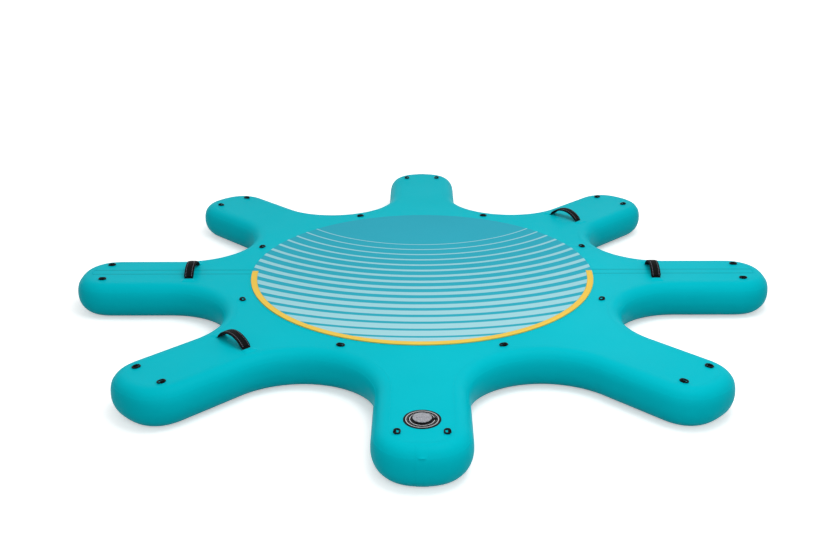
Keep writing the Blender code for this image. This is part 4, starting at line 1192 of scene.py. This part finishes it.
class DOCK_OT_stage(bpy.types.Operator):
    """Sets the pale floor, the soft studio light and the camera at the photograph's angle"""

    bl_idname = "dock.stage"
    bl_label = "Studio"

    def execute(self, context):
        self.floor()
        self.world(context.scene)
        self.lamps()
        self.camera(context.scene)
        context.scene.view_settings.view_transform = "Standard"
        return {"FINISHED"}

    def floor(self):
        deselect()
        bpy.ops.mesh.primitive_plane_add(size=60, location=(0, 0, -0.0005))
        floor = new_piece("studio_floor")
        made, tree, shader = start_material("Matt white vinyl")
        seen = seen_directly(tree)
        lit, looked_at = (0.45, 0.45, 0.45, 1.0), (0.90, 0.90, 0.90, 1.0)
        coords = add(tree, "TexCoord").outputs["Object"]
        far = add(tree, "VectorMath", {0: coords}, operation="LENGTH").outputs["Value"]
        rise = add(tree, "MapRange", {"Value": far, "From Min": 1.2, "From Max": 4.0, "To Min": 0.42})
        feed(tree, shader, {
            "Base Color": add(tree, "Mix", {0: seen, 6: lit, 7: looked_at}, data_type="RGBA").outputs[2],
            "Emission Strength": add(tree, "Math", {0: seen, 1: rise}, operation="MULTIPLY"),
            "Emission Color": (1.0, 1.0, 1.0, 1.0),
            "Roughness": 1.0,
            "Specular IOR Level": 0.0,
        })
        floor.data.materials.append(made)

    def world(self, scene):
        world = bpy.data.worlds.new("Studio")
        world.use_nodes = True
        tree = world.node_tree
        feed(tree, tree.nodes["Background"], {
            "Color": (1.0, 1.0, 1.0, 1.0),
            "Strength": add(tree, "MapRange", {"Value": seen_directly(tree), "To Min": 0.50}),
        })
        scene.world = world

    def lamps(self):
        for name, place, size, power in (
            ("overhead_softbox", (0.7, -0.7, 3.6), 2.4, 66.0),
            ("front_softbox", (0.7, -4.4, 2.3), 2.6, 38.0),
            ("rear_left_softbox", (-2.2, 3.0, 2.1), 1.2, 5.0),
            ("rear_right_softbox", (1.6, 3.4, 2.0), 0.9, 5.0),
        ):
            deselect()
            bpy.ops.object.light_add(type="AREA", location=place)
            lamp = bpy.context.object
            lamp.name = name
            lamp.data.shape = "SQUARE"
            lamp.data.size = size
            lamp.data.energy = power
            lamp.rotation_mode = "QUATERNION"
            lamp.rotation_quaternion = (Vector((0, 0, 0.1)) - Vector(place)).to_track_quat("-Z", "Y")

    def camera(self, scene):
        """Pin-hole pose fitted to the hull's outline and the pad in the photograph."""
        distance, lift = 4.661, radians(22.008)
        pan, tilt, roll = 0.0094, -0.0026, 0.0021
        focal_pixels, frame_pixels, sensor = 1105.6, 823, 36.0
        bpy.ops.object.camera_add(location=(0, 0, 0))
        camera = bpy.context.object
        camera.name = "photo_camera"
        eye = Vector((0, -distance * cos(lift), distance * sin(lift)))
        forward = -eye.normalized()
        right = Vector((1, 0, 0))
        base = Matrix((right, right.cross(forward), forward))
        turn = Matrix.Rotation(roll, 3, "Z") @ Matrix.Rotation(tilt, 3, "X") @ Matrix.Rotation(pan, 3, "Y")
        across, up, ahead = turn @ base
        columns = Matrix((across, up, -ahead)).transposed()
        camera.matrix_world = Matrix.Translation(eye + Vector((0, 0, DECK))) @ columns.to_4x4()
        camera.data.sensor_width = sensor
        camera.data.lens = sensor * focal_pixels / frame_pixels
        camera.data.clip_end = 200
        scene.camera = camera


# Panel and registration.


class DOCK_PT_panel(bpy.types.Panel):
    """Lists the building steps in the sidebar"""

    bl_label = "Dock platform"
    bl_idname = "DOCK_PT_panel"
    bl_space_type = "VIEW_3D"
    bl_region_type = "UI"
    bl_category = "Dock"

    def draw(self, context):
        column = self.layout.column()
        for step in STEPS:
            column.operator(step.bl_idname)


GROUPS = (
    (HullSizes, "dock_hull"),
    (PadSizes, "dock_pad"),
    (FittingSizes, "dock_fittings"),
    (DockColours, "dock_colours"),
)
STEPS = (DOCK_OT_hull, DOCK_OT_deck, DOCK_OT_bands, DOCK_OT_pad, DOCK_OT_rings, DOCK_OT_handles,
         DOCK_OT_valve, DOCK_OT_stage)


def register():
    for group, name in GROUPS:
        bpy.utils.register_class(group)
        setattr(bpy.types.Scene, name, PointerProperty(type=group))
    for item in (*STEPS, DOCK_PT_panel):
        bpy.utils.register_class(item)


def unregister():
    for item in reversed((*STEPS, DOCK_PT_panel)):
        bpy.utils.unregister_class(item)
    for group, name in reversed(GROUPS):
        delattr(bpy.types.Scene, name)
        bpy.utils.unregister_class(group)


def main():
    register()
    bpy.ops.dock.hull()
    bpy.ops.dock.deck()
    bpy.ops.dock.bands()
    bpy.ops.dock.pad()
    bpy.ops.dock.rings()
    bpy.ops.dock.handles()
    bpy.ops.dock.valve()
    bpy.ops.dock.stage()


if __name__ == "__main__":
    main()
